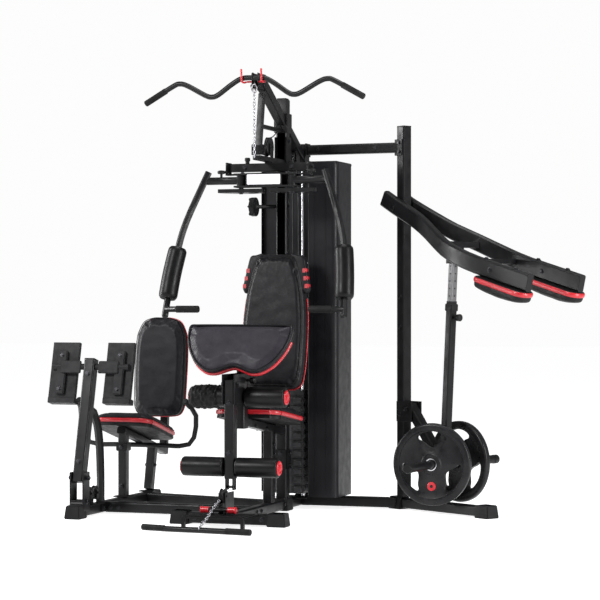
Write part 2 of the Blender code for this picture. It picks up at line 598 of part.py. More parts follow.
def build_fly_arm(side, name):
    y, z = PRESS_TUBE_Y, PRESS_TUBE_Z
    route = [(side * px, py, pz) for px, py, pz in FLY_ROUTE]
    pivot = (side * FLY_PIVOT_X, y)
    arm = bent_tube(f"fly_arm_{name}", route, FLY_RADIUS, BLACK_STEEL)
    handle_y, handle_z = route[-1][1] + 0.005, 0.990
    disc = turned(f"fly_cam_{name}", [(0, 0), (0, 0.118), (0.018, 0.118), (0.018, 0)], (*pivot, z - 0.058),
                  (0, 0, 1), None, 24)
    cut(disc, block(f"cam_half_{name}", (pivot[0] - 0.15, y - 0.15, z - 0.08),
                    (pivot[0] + 0.15, y - 0.012, z), None))
    join(arm, rod(f"fly_tube_{name}", (side * FLY_PIVOT_X, y, z), (side * 0.304, y - 0.002, z), 0.0185, None),
         rod(f"fly_bush_{name}", (*pivot, z - 0.025), (*pivot, z + 0.025), 0.0215, None),
         rod(f"fly_shaft_{name}", (*pivot, z - 0.055), (*pivot, z - 0.02), 0.0115, None), disc,
         rod(f"fly_handle_{name}", (side * 0.449, handle_y, handle_z), (side * 0.28, handle_y, handle_z),
             0.0140, None))
    first, last = FLY_FOAM
    foam = bent_tube(f"fly_foam_{name}", route[first:last], 0.045, FOAM, step=0.06, resolution=3)
    cut(foam, bent_tube(f"fly_foam_bore_{name}", route, FLY_RADIUS + 0.0016, None))
    body(f"fly_{name}", (*pivot, z), arm, foam)


# ---------------------------------------------------------------- middle seat, leg developer, preacher pad
def tilted(at, slope):
    """A frame at (y, z) in the plane x = 0 whose Y axis falls by slope per metre towards +Y."""
    return Matrix.Translation((0, *at)) @ Matrix.Rotation(-math.atan(slope), 4, "X")


def seat_under(y, mid=SEAT_MID, slope=SEAT_SLOPE):
    """Height of a tilted seat cushion's underside at y."""
    return mid[1] - slope * (y - mid[0]) - PAD_THICK / 2 / math.cos(math.atan(slope))


def seat_beam_z(y, tall, mid=SEAT_MID, slope=SEAT_SLOPE):
    """Height of the centre line of the beam that carries the cushion, at y."""
    return seat_under(y, mid, slope) - (tall / 2 + GAP) / math.cos(math.atan(slope))


def build_middle_seat():
    tall = SEAT_BEAM_TALL
    rear = -COLUMN / 2 - 0.004
    frame = beam("main_seat_frame", (0, -0.60, seat_beam_z(-0.60, tall)), (0, rear, seat_beam_z(rear, tall)),
                 BLACK_STEEL, TUBE, tall)
    pivot_y, pivot_z = DEVELOPER_PIVOT
    post = beam("front_seat_post", (0, FRONT_POST_Y, 0.435), (0, FRONT_POST_Y, 0.69), None, 0.05, 0.058)
    join(frame, post,
         beam("seat_post", (0, SEAT_POST_Y, BASE_TOP + GAP), (0, SEAT_POST_Y, 0.40), None, TUBE, TUBE))
    for side in (-1, 1):
        inner, outer = sorted((side * 0.0265, side * 0.0325))
        join(frame, block(f"developer_cheek_{side}", (inner, pivot_y - 0.032, 0.555), (outer, -0.572, 0.692), None))
    join(frame, rod("upper_axle", (-ROLLER_END - 0.004, ROLLER_Y_UPPER, ROLLER_Z_UPPER),
                    (ROLLER_END + 0.004, ROLLER_Y_UPPER, ROLLER_Z_UPPER), AXLE_RADIUS, None))
    socket = PREACHER_POST / 2 + 0.0007
    cut(frame, block("post_socket", (-socket, FRONT_POST_Y - socket, 0.50), (socket, FRONT_POST_Y + socket, 0.71),
                     None),
        rod("developer_bore", (-0.06, pivot_y, pivot_z), (0.06, pivot_y, pivot_z), 0.0116, None))
    flat_pad("main_seat_pad", rounded_outline(SEAT_WIDTH / 2, SEAT_DEPTH / 2, 0.07), PAD_THICK,
             tilted(SEAT_MID, SEAT_SLOPE), VINYL)
    for side, name in ((-1, "left"), (1, "right")):
        sleeve(f"upper_roller_{name}", (side * 0.040, ROLLER_Y_UPPER, ROLLER_Z_UPPER),
               (side * ROLLER_END, ROLLER_Y_UPPER, ROLLER_Z_UPPER), ROLLER_RADIUS, ROLLER_BORE, FOAM)
    half = [(0.0, -0.332), (0.060, -0.333), (0.115, -0.330), (0.150, -0.300), (0.163, -0.230), (0.168, -0.080),
            (0.165, 0.040), (0.150, 0.160), (0.122, 0.270), (0.100, 0.318), (0.065, 0.333), (0.0, 0.334)]
    lean = Matrix.Translation((0, *BACK_PAD_MID)) @ Matrix.Rotation(math.pi / 2 - BACK_PAD_LEAN, 4, "X")
    flat_pad("main_back_pad", mirrored_outline(half, 0.05), BACK_PAD_THICK, lean, VINYL)


def build_leg_developer():
    y, z = DEVELOPER_PIVOT
    lever = beam("leg_developer_lever", (0, y, z + 0.020), (0, y, 0.215), BLACK_STEEL)
    join(lever, rod("developer_axle", (-0.044, y, z), (0.044, y, z), 0.0108, None),
         rod("lower_axle", (-ROLLER_END - 0.004, y, ROLLER_Z_LOWER), (ROLLER_END + 0.004, y, ROLLER_Z_LOWER),
             AXLE_RADIUS, None))
    moving = [lever]
    for side, name in ((-1, "left"), (1, "right")):
        moving.append(sleeve(f"lower_roller_{name}", (side * 0.030, y, ROLLER_Z_LOWER),
                             (side * ROLLER_END, y, ROLLER_Z_LOWER), ROLLER_RADIUS - 0.003, ROLLER_BORE, FOAM))
    body("leg_developer", (0, y, z), *moving)


def build_preacher():
    top, bottom = Vector((0, *PREACHER_TOP)), Vector((0, *PREACHER_BOTTOM))
    up = (top - bottom).normalized()
    normal = Vector((1, 0, 0)).cross(up)
    middle = (top + bottom) / 2 - normal * PREACHER_THICK / 2
    frame = Matrix((Vector((1, 0, 0)), up, normal)).transposed().to_4x4()
    frame.translation = middle
    reach = (top - bottom).length / 2
    half = [(0.0, 0.030 - reach), (0.030, 0.022 - reach), (0.075, 0.004 - reach), (0.130, 0.004 - reach),
            (0.190, 0.045 - reach), (0.235, 0.115 - reach), (0.256, 0.185 - reach), (0.258, reach - 0.018),
            (0.246, reach - 0.002), (0.0, reach)]
    pad = flat_pad("preacher_pad", mirrored_outline(half, 0.035), PREACHER_THICK, frame, VINYL)
    post = beam("preacher_post", (0, FRONT_POST_Y, 0.505), (0, FRONT_POST_Y, 0.795), BLACK_STEEL,
                PREACHER_POST, PREACHER_POST, 0.003)
    plate_at = middle - normal * (PREACHER_THICK / 2 + 0.0045)
    plate = block("preacher_plate", (-0.07, -0.075, -0.004), (0.07, 0.075, 0.004), None)
    plate.matrix_world = Matrix.Translation(plate_at - middle) @ frame
    join(post, plate)
    body("preacher", (0, FRONT_POST_Y, 0.50), post, pad)


# ---------------------------------------------------------------- leg press on the left
def at_press(y, z, x=0.0):
    return (PRESS_X + x, y, z)


def build_leg_press():
    lever = beam("leg_press_lever", at_press(LEVER_PIVOT[0] - 0.005, LEVER_PIVOT[1] - 0.022), at_press(*LEVER_TOP),
                 BLACK_STEEL, LEVER_TUBE, LEVER_TUBE)
    join(lever, rod("press_pivot", at_press(*LEVER_PIVOT, -0.046), at_press(*LEVER_PIVOT, 0.046), 0.0098, None))
    cut(lever, rod("foot_tube_bore", at_press(*FOOT_TUBE, -0.06), at_press(*FOOT_TUBE, 0.06), 0.0163, None))
    body("leg_press", at_press(*LEVER_PIVOT), lever)

    lean = math.atan2(LEVER_TOP[0] - LEVER_PIVOT[0], LEVER_TOP[1] - LEVER_PIVOT[1])
    plates = rod("foot_plates", at_press(*FOOT_TUBE, -0.20), at_press(*FOOT_TUBE, 0.20), 0.0152, GREY_PLASTIC)
    tilt = Matrix.Translation(at_press(*FOOT_TUBE)) @ Matrix.Rotation(-lean, 4, "X")
    for side in (-1, 1):
        sheet = block(f"foot_plate_{side}", (side * 0.144 - 0.070, 0.010, -0.170),
                      (side * 0.144 + 0.070, 0.032, 0.122), None)
        lip = block(f"foot_lip_{side}", (side * 0.144 - 0.070, 0.006, -0.176),
                    (side * 0.144 + 0.070, 0.060, -0.150), None)
        for piece in (sheet, lip):
            piece.matrix_world = tilt @ piece.matrix_world
        join(plates, sheet, lip)
    body("foot_plate_tilt", at_press(*FOOT_TUBE), plates)

    route = [(-0.547, 0.508), (-0.505, 0.492), (-0.462, 0.440), (-0.436, 0.355), (-0.424, 0.255), (-0.420, 0.150),
             (-0.420, BASE_TOP + 0.0008)]
    bent_tube("press_stop_tube", [at_press(y, z) for y, z in route], 0.021, BLACK_STEEL, step=0.045)


def build_side_seat():
    tall = 0.035

    def under(y):
        return seat_beam_z(y, tall, SIDE_SEAT_MID, SIDE_SEAT_SLOPE)

    frame = beam("side_seat_frame", at_press(-0.175, under(-0.175)), at_press(0.37, under(0.37)), BLACK_STEEL,
                 0.045, tall)
    join(frame, beam("side_front_post", at_press(-0.145, BASE_TOP + GAP), at_press(-0.145, 0.37), None, 0.045, 0.045),
         beam("side_rear_post", at_press(0.174, 0.0685), at_press(0.222, 0.28), None, 0.045, 0.045),
         beam("side_back_post", at_press(0.370, 0.235), at_press(0.425, 0.85), None, 0.04, 0.04),
         block("side_spacer_low", at_press(0.352, 0.49, -0.02), at_press(0.39, 0.53, 0.02), None),
         block("side_spacer_high", at_press(0.381, 0.78, -0.02), at_press(0.42, 0.82, 0.02), None))
    right = [(0.12, 0.050, 0.302), (0.22, 0.050, 0.300), (0.272, 0.050, 0.310), (0.300, 0.048, 0.345),
             (0.312, 0.045, 0.400), (0.316, 0.035, 0.455), (0.304, 0.000, 0.498), (0.290, -0.040, 0.530)]
    route = [(PRESS_X - x, y, z) for x, y, z in reversed(right)] + [(PRESS_X + x, y, z) for x, y, z in right]
    join(frame, bent_tube("side_handles", route, 0.0125, None, step=0.04))
    flat_pad("side_seat_pad", rounded_outline(SIDE_SEAT_WIDTH / 2, SIDE_SEAT_DEPTH / 2, 0.07), PAD_THICK,
             Matrix.Translation((PRESS_X, 0, 0)) @ tilted(SIDE_SEAT_MID, SIDE_SEAT_SLOPE), VINYL)
    lean = (Matrix.Translation(at_press(*SIDE_BACK_MID)) @ Matrix.Rotation(math.pi / 2 - SIDE_BACK_LEAN, 4, "X"))
    half = [(0.0, -0.258), (0.070, -0.257), (0.115, -0.245), (0.136, -0.205), (0.142, -0.060), (0.142, 0.090),
            (0.130, 0.180), (0.100, 0.235), (0.050, 0.256), (0.0, 0.258)]
    flat_pad("side_back_pad", mirrored_outline(half, 0.05), 0.06, lean, VINYL)


# ---------------------------------------------------------------- squat station on the right
def squat_block(name, low, high, finish=None):
    """A box in the squat station's own axes: s, t, z."""
    made = block(name, low, high, finish)
    made.matrix_world = (Matrix.Translation(SQUAT_AT) @ Matrix.Rotation(SQUAT_TURN, 4, "Z")
                         @ made.matrix_world)
    return made


def squat_rod(name, s, z, reach, radius, finish=None):
    return rod(name, squat(s, -reach, z), squat(s, reach, z), radius, finish)


def swept_arm(name, side, finish):
    """One S-curved shoulder arm: a flat-sided tube swept along its route."""
    route = [(-0.085, 0.052, 1.541), (0.0, 0.052, 1.497), (0.16, 0.060, 1.423), (0.27, 0.085, 1.368),
             (0.40, 0.135, 1.308), (0.52, 0.165, 1.256), (0.70, 0.170, 1.196), (1.04, 0.170, 1.108)]
    data = curve_data(name, smooth_path([squat(s, side * t, z) for s, t, z in route], 0.07))
    section = curve_data(f"{name}_section", rounded_outline(ARM_HALF_WIDE, ARM_HALF_TALL, 0.008, 1), cyclic=True, flat=True)
    section_obj = add_object(f"{name}_section", section, None)
    data.bevel_mode = "OBJECT"
    data.bevel_object = section_obj
    data.use_fill_caps = True
    data.twist_mode = "Z_UP"
    return as_mesh(add_object(name, data, BLACK_STEEL), finish)


def build_squat_frame():
    upright = upright_tube("squat_upright", FOOT_TOP + GAP, UPRIGHT_TOP, BLACK_STEEL)
    s, z = LEVER_AXIS
    for side in (-1, 1):
        inner, outer = sorted((side * 0.0268, side * 0.0335))
        join(upright, squat_block(f"lever_cheek_{side}", (-0.02, inner, z - 0.065), (s + 0.035, outer, z + 0.035)))
    cut(upright, squat_rod("lever_bore", s, z, 0.06, 0.0104), squat_rod("arm_bore", *ARM_PIVOT, 0.06, 0.0128))


def build_shoulder_arms():
    arms = swept_arm("squat_arms", -1, BLACK_STEEL)
    s, z = STRUT_TOP
    join(arms, swept_arm("squat_arm_far", 1, None), squat_rod("arm_axle", *ARM_PIVOT, 0.078, 0.0120),
         squat_block("arm_tie", (0.375, -0.115, 1.285), (0.415, 0.115, 1.315)),
         squat_block("arm_tie_front", (0.60, -0.155, 1.205), (0.635, 0.155, 1.228)))
    for side in (-1, 1):
        inner, outer = sorted((side * 0.0215, side * 0.0275))
        join(arms, squat_block(f"strut_lug_{side}", (s - 0.025, inner, z - 0.025), (s + 0.045, outer, 1.300)))
    pads = []
    for side, name in ((-1, "near"), (1, "far")):
        slope = math.atan((1.188 - 1.100) / (1.04 - 0.70))
        at = squat(0.865, side * 0.170, 1.0795)
        frame = (Matrix.Translation(at) @ Matrix.Rotation(SQUAT_TURN, 4, "Z") @ Matrix.Rotation(slope, 4, "Y"))
        pads.append(flat_pad(f"shoulder_pad_{name}", rounded_outline(0.170, 0.055, 0.05, 5), 0.055, frame, VINYL))
    body("squat_arm_swing", squat(ARM_PIVOT[0], 0, ARM_PIVOT[1]), arms, *pads)


def build_strut():
    low, high = Vector((STRUT_BOTTOM[0], 0, STRUT_BOTTOM[1])), Vector((STRUT_TOP[0], 0, STRUT_TOP[1]))
    along = (high - low).normalized()

    def station(distance):
        point = low + along * distance
        return squat(point.x, 0, point.z)

    total = (high - low).length
    tube = beam("strut_tube", station(-0.022), station(0.705), BLACK_STEEL, 0.042, 0.042)
    cut(tube, beam("strut_way", station(0.40), station(0.80), None, 0.0352, 0.0352, 0.002),
        squat_rod("strut_low_bore", *STRUT_BOTTOM, 0.05, 0.0094))
    inner = beam("strut_rod", station(0.405), station(total + 0.020), CHROME, 0.034, 0.034, 0.003)
    cut(inner, squat_rod("strut_high_bore", *STRUT_TOP, 0.05, 0.0110))
    outward = squat(1, 0, 0) - squat(0, 0, 0)
    knob = turned("strut_knob", [(0, 0), (0, 0.006), (0.016, 0.006), (0.018, 0.016), (0.040, 0.018), (0.046, 0.012),
                                 (0.046, 0)], station(0.640) + outward * 0.0225, outward, GREY_PLASTIC, 14)
    body("strut", squat(STRUT_BOTTOM[0], 0, STRUT_BOTTOM[1]), tube, inner)
    body("strut_pin", station(0.640) + outward * 0.0225, knob)


def build_squat_lever():
    s, z = LEVER_AXIS
    hub = squat(HUB[0], 0, HUB[1])
    lever = beam("squat_lever", squat(s - 0.010, 0, z + 0.012), squat(HUB[0] + 0.010, 0, HUB[1] - 0.012),
                 BLACK_STEEL, 0.050, 0.05)
    join(lever, squat_rod("lever_axle", s, z, 0.045, 0.0098))
    for side in (-1, 1):
        inner, outer = sorted((side * 0.0215, side * 0.0275))
        join(lever, squat_block(f"strut_cheek_{side}", (HUB[0] - 0.030, inner, HUB[1] - 0.02),
                                (STRUT_BOTTOM[0] + 0.024, outer, STRUT_BOTTOM[1] + 0.024)))
    slot_low = squat(STRUT_BOTTOM[0], 0, STRUT_BOTTOM[1] - 0.028)
    slot_high = squat(STRUT_BOTTOM[0] + 0.02, 0, STRUT_BOTTOM[1] + 0.10)
    cut(lever, beam("strut_room", slot_low, slot_high, None, 0.0428, 0.064, 0))
    join(lever, squat_rod("strut_pin_low", *STRUT_BOTTOM, 0.036, 0.0088))
    collar_end = DISC_AT - DISC_THICK / 2 - 2 * GAP
    for name, (along, length) in HORNS.items():
        join(lever, rod(f"horn_{name}", hub, hub + along * length, HORN_RADIUS, None),
             rod(f"horn_collar_{name}", hub + along * (collar_end - HORN_COLLAR_LENGTH), hub + along * collar_end,
                 HORN_COLLAR_RADIUS, None))
    body("squat_lever_swing", squat(s, 0, z), lever)
    for name, (along, _) in HORNS.items():
        build_disc(f"weight_disc_{name}", hub + along * DISC_AT, along)


def build_disc(name, at, along):
    """A rubber weight disc with a raised rim and hub and three grip openings."""
    half, bore = DISC_THICK / 2, HORN_RADIUS + 0.0015
    profile = [(-half, bore), (-half, 0.045), (-0.010, 0.050), (-0.010, DISC_RADIUS - 0.034),
               (-half, DISC_RADIUS - 0.026), (-half, DISC_RADIUS - 0.006), (-half + 0.006, DISC_RADIUS)]
    profile += [(-x, r) for x, r in reversed(profile)]
    disc = turned(name, profile, at, along, RUBBER, 32)
    frame = aligned(at, along)
    for i in range(3):
        angle = math.radians(90 + 120 * i)
        outline = [(r * math.cos(angle + a), r * math.sin(angle + a))
                   for r, a in ((0.150, 0.50), (0.158, 0.25), (0.160, 0.0), (0.158, -0.25), (0.150, -0.50),
                                (0.128, -0.52), (0.085, -0.12), (0.085, 0.12), (0.128, 0.52))]
        data = curve_data(f"{name}_grip_{i}", outline, cyclic=True, flat=True)
        data.fill_mode = "BOTH"
        data.extrude = 0.04
        opening = add_object(f"{name}_grip_{i}", data, RUBBER)
        opening.matrix_world = frame @ Matrix(((0, 0, 1, 0), (1, 0, 0, 0), (0, 1, 0, 0), (0, 0, 0, 1)))
        cut(disc, as_mesh(opening))
    body(f"{name}_slide", at, disc)


build_base()
build_tower()
build_shrouds()
build_stack()
build_head_pieces()
build_press_arm()
build_middle_seat()
build_leg_developer()
build_preacher()
build_leg_press()
build_side_seat()
build_squat_frame()
build_shoulder_arms()
build_strut()
build_squat_lever()
bpy.context.view_layer.update()
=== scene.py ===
"""Looks for the multi station home gym: finishes, cushions, chains, cables, fasteners, studio and camera."""

import json
import math

import bmesh
import bpy
from mathutils import Matrix, Vector, noise

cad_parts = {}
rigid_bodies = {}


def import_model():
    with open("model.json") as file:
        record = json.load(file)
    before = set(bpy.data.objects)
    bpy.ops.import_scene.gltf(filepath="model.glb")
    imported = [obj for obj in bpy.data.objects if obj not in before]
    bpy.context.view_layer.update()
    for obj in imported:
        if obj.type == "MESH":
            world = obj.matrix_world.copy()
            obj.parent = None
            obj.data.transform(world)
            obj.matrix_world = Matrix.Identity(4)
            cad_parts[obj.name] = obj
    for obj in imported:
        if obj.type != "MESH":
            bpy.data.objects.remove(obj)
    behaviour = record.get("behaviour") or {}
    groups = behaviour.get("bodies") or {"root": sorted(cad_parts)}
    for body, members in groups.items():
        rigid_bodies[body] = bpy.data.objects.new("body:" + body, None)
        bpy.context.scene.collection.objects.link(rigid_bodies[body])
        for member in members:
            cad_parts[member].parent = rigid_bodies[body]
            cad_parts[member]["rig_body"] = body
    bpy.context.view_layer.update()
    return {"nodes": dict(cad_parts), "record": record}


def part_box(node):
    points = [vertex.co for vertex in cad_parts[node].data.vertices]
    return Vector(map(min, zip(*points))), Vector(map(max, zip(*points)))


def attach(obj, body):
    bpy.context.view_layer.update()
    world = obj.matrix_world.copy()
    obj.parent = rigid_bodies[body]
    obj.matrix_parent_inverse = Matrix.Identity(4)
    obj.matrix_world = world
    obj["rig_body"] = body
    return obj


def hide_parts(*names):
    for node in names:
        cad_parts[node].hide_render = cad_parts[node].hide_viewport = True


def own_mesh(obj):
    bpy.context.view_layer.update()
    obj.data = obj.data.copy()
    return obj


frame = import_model()

# ---------------------------------------------------------------- places shared with the CAD
SQUAT_AT = Vector((0.545, 0.26, 0.0))
SQUAT_TURN = math.radians(-32)
ARM_PIVOT, LEVER_AXIS, HUB = (0.0, 1.49), (0.058, 0.5), (0.272, 0.245)
STRUT_BOTTOM, STRUT_TOP = (0.3, 0.31), (0.3575, 1.235)
PRESS_X = -0.79
PRESS_PIVOT = Vector((PRESS_X, -0.66, 0.19))
FOOT_TUBE = Vector((PRESS_X, -0.533, 0.713))
PRESS_ARM = Vector((0, 0.1347, 0.555)).normalized()
FOOT_LEAN = math.atan2(PRESS_ARM.y, PRESS_ARM.z)
STACK_Y = 0.15
CROSS_Y, CROSS_Z = -0.19, 1.675
LINK_Z = 1.79
FLY_X, FLY_Y = 0.13, -0.237
KNOB_AT = (-0.1405, 0, 1.495)
DEVELOPER_Y, DEVELOPER_Z = -0.72, 0.645
HORNS = {"near": (Vector((-0.105, -0.995, 0.0)).normalized(), 0.44),
         "far": (Vector((0.515, 0.858, 0.0)).normalized(), 0.38)}
HORN_RADIUS, DISC_AT, DISC_RADIUS, DISC_THICK = 0.021, 0.123, 0.198, 0.036
LAT_BAR_Y, LAT_BAR_Z, LAT_BAR_RADIUS = -0.425, 2.085, 0.0125
ROLLER_END, ROLLER_BORE = 0.235, 0.0132
CABLE_RADIUS, GROOVE_DEPTH = 0.0028, 0.0065
BASE_TOP = 0.0562
X, Y, Z = Vector((1, 0, 0)), Vector((0, 1, 0)), Vector((0, 0, 1))
SIDES = ((-1, "left"), (1, "right"))
RED, WHITE = (0.45, 0.008, 0.016, 1), (1, 1, 1, 1)


def squat(s, t, z):
    """A point of the squat station: s out from the upright, t across, away from the middle seat."""
    return SQUAT_AT + Matrix.Rotation(SQUAT_TURN, 4, "Z") @ Vector((s, t, 0)) + Vector((0, 0, z))


OUT, ACROSS = squat(1, 0, 0) - squat(0, 0, 0), squat(0, 1, 0) - squat(0, 0, 0)


# ---------------------------------------------------------------- materials
class Look:
    """A node material, built from its shader outwards, and the material slot it belongs to."""

    def __init__(self, name, slot, colour, roughness, metallic=0.0, **sockets):
        self.slot = slot
        self.material = bpy.data.materials.new(name)
        self.material.use_nodes = True
        self.tree = self.material.node_tree
        self.shader = self.tree.nodes["Principled BSDF"]
        values = {"Base Color": colour, "Roughness": roughness, "Metallic": metallic, **sockets}
        for socket, value in values.items():
            self.shader.inputs[socket].default_value = value
        self.place = self.tree.nodes.new("ShaderNodeTexCoord").outputs["Object"]
        self.bumps = None

    def node(self, kind, inputs=(), **settings):
        made = self.tree.nodes.new(kind)
        for key, value in settings.items():
            setattr(made, key, value)
        for key, value in dict(inputs).items():
            if isinstance(value, bpy.types.NodeSocket):
                self.tree.links.new(value, made.inputs[key])
            else:
                made.inputs[key].default_value = value
        return made

    def noise(self, scale, detail=4.0, stretch=None):
        place = self.place
        if stretch:
            place = self.node("ShaderNodeMapping", {"Vector": place, "Scale": stretch}).outputs["Vector"]
        inputs = {"Vector": place, "Scale": scale, "Detail": detail}
        return self.node("ShaderNodeTexNoise", inputs).outputs["Fac"]

    def cells(self, scale):
        return self.node("ShaderNodeTexVoronoi", {"Vector": self.place, "Scale": scale},
                         feature="DISTANCE_TO_EDGE").outputs["Distance"]

    def spread(self, factor, low, high, start=0.35, end=0.65):
        ranged = self.node("ShaderNodeMapRange", {"Value": factor, "From Min": start, "From Max": end,
                                                  "To Min": low, "To Max": high})
        return ranged.outputs["Result"]

    def vary_roughness(self, factor, low, high):
        self.tree.links.new(self.spread(factor, low, high), self.shader.inputs["Roughness"])
        return self

    def vary_colour(self, factor, first, second, start=0.35, end=0.65):
        share = self.spread(factor, 0.0, 1.0, start, end)
        mix = self.node("ShaderNodeMix", {"Factor": share}, data_type="RGBA")
        mix.inputs["A"].default_value = first
        mix.inputs["B"].default_value = second
        self.tree.links.new(mix.outputs["Result"], self.shader.inputs["Base Color"])
        return self

    def bump(self, height, strength, distance):
        inputs = {"Height": height, "Strength": strength, "Distance": distance}
        if self.bumps:
            inputs["Normal"] = self.bumps
        self.bumps = self.node("ShaderNodeBump", inputs).outputs["Normal"]
        self.tree.links.new(self.bumps, self.shader.inputs["Normal"])
        return self


def painted(name, dark, light, low, high, slot="black_steel"):
    """Powder coat: a fine pebbled skin, broad changes of gloss and a little handling haze."""
    coat = {"Specular IOR Level": 0.18, "Coat Weight": 0.03, "Coat Roughness": 0.22}
    look = Look(name, slot, dark, 0.45, **coat)
    look.vary_colour(look.noise(9.0), dark, light)
    look.vary_roughness(look.noise(23.0, 6.0), low, high)
    look.bump(look.noise(900.0, 2.0), 0.06, 0.0004)
    look.bump(look.noise(45.0, 2.0), 0.015, 0.002)
    return look


def leatherette(name, dark, light):
    """Upholstery cloth: a fine cell grain over soft unevenness."""
    coat = {"Specular IOR Level": 0.17, "Sheen Weight": 0.01, "Coat Weight": 0.02, "Coat Roughness": 0.3}
    look = Look(name, "vinyl", dark, 0.4, **coat)
    look.vary_colour(look.noise(14.0), dark, light)
    look.vary_roughness(look.noise(60.0, 5.0), 0.36, 0.5)
    look.bump(look.noise(16.0, 3.0), 0.12, 0.006)
    look.bump(look.cells(620.0), 0.35, 0.0006)
    return look


def rubbery(name, dark, light, low=0.5, high=0.68, grain=420.0, relief=0.3, slot="grey_plastic"):
    """Moulded rubber or plastic with a fine grain."""
    look = Look(name, slot, dark, 0.6, **{"Specular IOR Level": 0.18})
    look.vary_colour(look.noise(11.0), dark, light)
    look.vary_roughness(look.noise(35.0), low, high)
    look.bump(look.noise(grain, 3.0), relief, 0.0008)
    return look


def bright_metal(name, slot, colour, low, high, scratch=0.04):
    """Bare or plated metal with fine scratches along it."""
    look = Look(name, slot, colour, 0.15, 1.0)
    look.vary_roughness(look.noise(30.0), low, high)
    look.bump(look.noise(240.0, 2.0, (1, 1, 0.08)), scratch, 0.0004)
    return look


FRAME_PAINT = painted("powder_coat", (0.005, 0.005, 0.0056, 1), (0.008, 0.008, 0.0088, 1), 0.28, 0.42)
PLATE_PAINT = painted("bracket_coat", (0.004, 0.004, 0.0046, 1), (0.0066, 0.0066, 0.0072, 1), 0.32, 0.46)
SHROUD_PAINT = painted("shroud_coat", (0.005, 0.005, 0.0062, 1), (0.0078, 0.0078, 0.0094, 1), 0.34, 0.46,
                       slot="sheet_steel")
SEAT_VINYL = leatherette("seat_leatherette", (0.0046, 0.0042, 0.0058, 1), (0.0072, 0.0066, 0.0088, 1))
# The preacher face uses a lighter copy of the same black leatherette: painted light for the sheen its tilted
# face catches.
PREACHER_PAINTED_LIGHT_VINYL = leatherette("preacher_painted_light_leatherette", (0.017, 0.015, 0.0195, 1), (0.025, 0.0225, 0.0285, 1))
BACK_VINYL = leatherette("back_leatherette", (0.0042, 0.0038, 0.0048, 1), (0.007, 0.0064, 0.008, 1))
PAN_PLASTIC = rubbery("pan_plastic", (0.004, 0.004, 0.0045, 1), (0.007, 0.007, 0.0075, 1), 0.42, 0.6)
FOAM_SKIN = rubbery("foam_skin", (0.0022, 0.0022, 0.0026, 1), (0.004, 0.004, 0.0045, 1), 0.34, 0.44, 700.0,
                    relief=0.06, slot="foam")
STRAP_CLOTH = rubbery("strap_cloth", (0.003, 0.003, 0.003, 1), (0.008, 0.008, 0.008, 1), 0.55, 0.8, 500.0,
                      slot="foam")
DISC_RUBBER = rubbery("disc_rubber", (0.007, 0.007, 0.008, 1), (0.014, 0.014, 0.015, 1), 0.22, 0.38, 520.0,
                      slot="plate_iron")
FOOT_RUBBER = rubbery("foot_rubber", (0.0065, 0.0065, 0.0072, 1), (0.0105, 0.0105, 0.0112, 1), 0.5, 0.66)
# The plate iron is black iron given a much lighter grey: painted highlight standing in for the light the plates
# catch in the stack's shade.
PAINTED_LIGHT_PLATE_IRON = rubbery("plate_iron", (0.044, 0.044, 0.046, 1), (0.07, 0.07, 0.073, 1), 0.2, 0.32,
                     slot="plate_iron")
KNOB_PLASTIC = rubbery("knob_plastic", (0.005, 0.005, 0.0055, 1), (0.009, 0.009, 0.01, 1), 0.35, 0.5, 900.0)
FOOT_PLASTIC = rubbery("foot_plate_plastic", (0.0115, 0.0115, 0.0125, 1), (0.0175, 0.0175, 0.0188, 1),
                       0.48, 0.62, 800.0)
RED_VINYL = Look("red_vinyl", "vinyl", RED, 0.36, **{"Coat Weight": 0.1})
RED_VINYL.vary_colour(RED_VINYL.noise(22.0), RED, (0.33, 0.006, 0.012, 1))
RED_VINYL.bump(RED_VINYL.cells(620.0), 0.25, 0.0005)
RED_PLASTIC = Look("red_plastic", "grey_plastic", RED, 0.3)
RED_PLASTIC.vary_roughness(RED_PLASTIC.noise(40.0), 0.25, 0.4)
RED_PLASTIC.bump(RED_PLASTIC.noise(800.0), 0.1, 0.0003)
CHROME = bright_metal("chrome", "chrome", (0.55, 0.55, 0.57, 1), 0.1, 0.22)
ROD_STEEL = bright_metal("rod_steel", "chrome", (0.19, 0.19, 0.195, 1), 0.3, 0.42, 0.015)
ZINC = bright_metal("zinc_chain", "chain_steel", (0.34, 0.34, 0.36, 1), 0.25, 0.45, 0.1)
BOLT_STEEL = bright_metal("bolt_steel", "black_steel", (0.035, 0.035, 0.038, 1), 0.3, 0.45, 0.1)
CABLE_JACKET = Look("cable_jacket", "cable_jacket", (0.012, 0.012, 0.012, 1), 0.3)
CABLE_JACKET.bump(CABLE_JACKET.noise(600.0, 2.0), 0.1, 0.0003)
BLANK_PLATE = Look("blank_plate", "grey_plastic", (0.86, 0.85, 0.88, 1), 0.35)
BLANK_PLATE.vary_roughness(BLANK_PLATE.noise(30.0), 0.28, 0.42)


# ---------------------------------------------------------------- mesh tools
def add_object(name, data):
    obj = bpy.data.objects.new(name, data)
    bpy.context.scene.collection.objects.link(obj)
    return obj


def mesh_from(name, bm):
    mesh = bpy.data.meshes.new(name)
    bm.to_mesh(mesh)
    bm.free()
    return mesh


def piece(name, bm, look, body="frame", slot=None, angle=38):
    """A finished mesh object that rides on a CAD body."""
    slot = slot or look.slot
    bmesh.ops.recalc_face_normals(bm, faces=bm.faces)
    mesh = mesh_from(name, bm)
    mesh.shade_smooth()
    mesh.set_sharp_from_angle(angle=math.radians(angle))
    mesh.materials.append(look.material)
    obj = add_object(name, mesh)
    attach(obj, body)
    return obj


def aligned(origin, along, up=Z):
    """X lies along a direction, and Z is as near to up as it can be."""
    x = Vector(along).normalized()
    if abs(x.dot(up)) > 0.999:
        up = Y
    y = Vector(up).cross(x).normalized()
    matrix = Matrix((x, y, x.cross(y))).transposed().to_4x4()
    matrix.translation = Vector(origin)
    return matrix


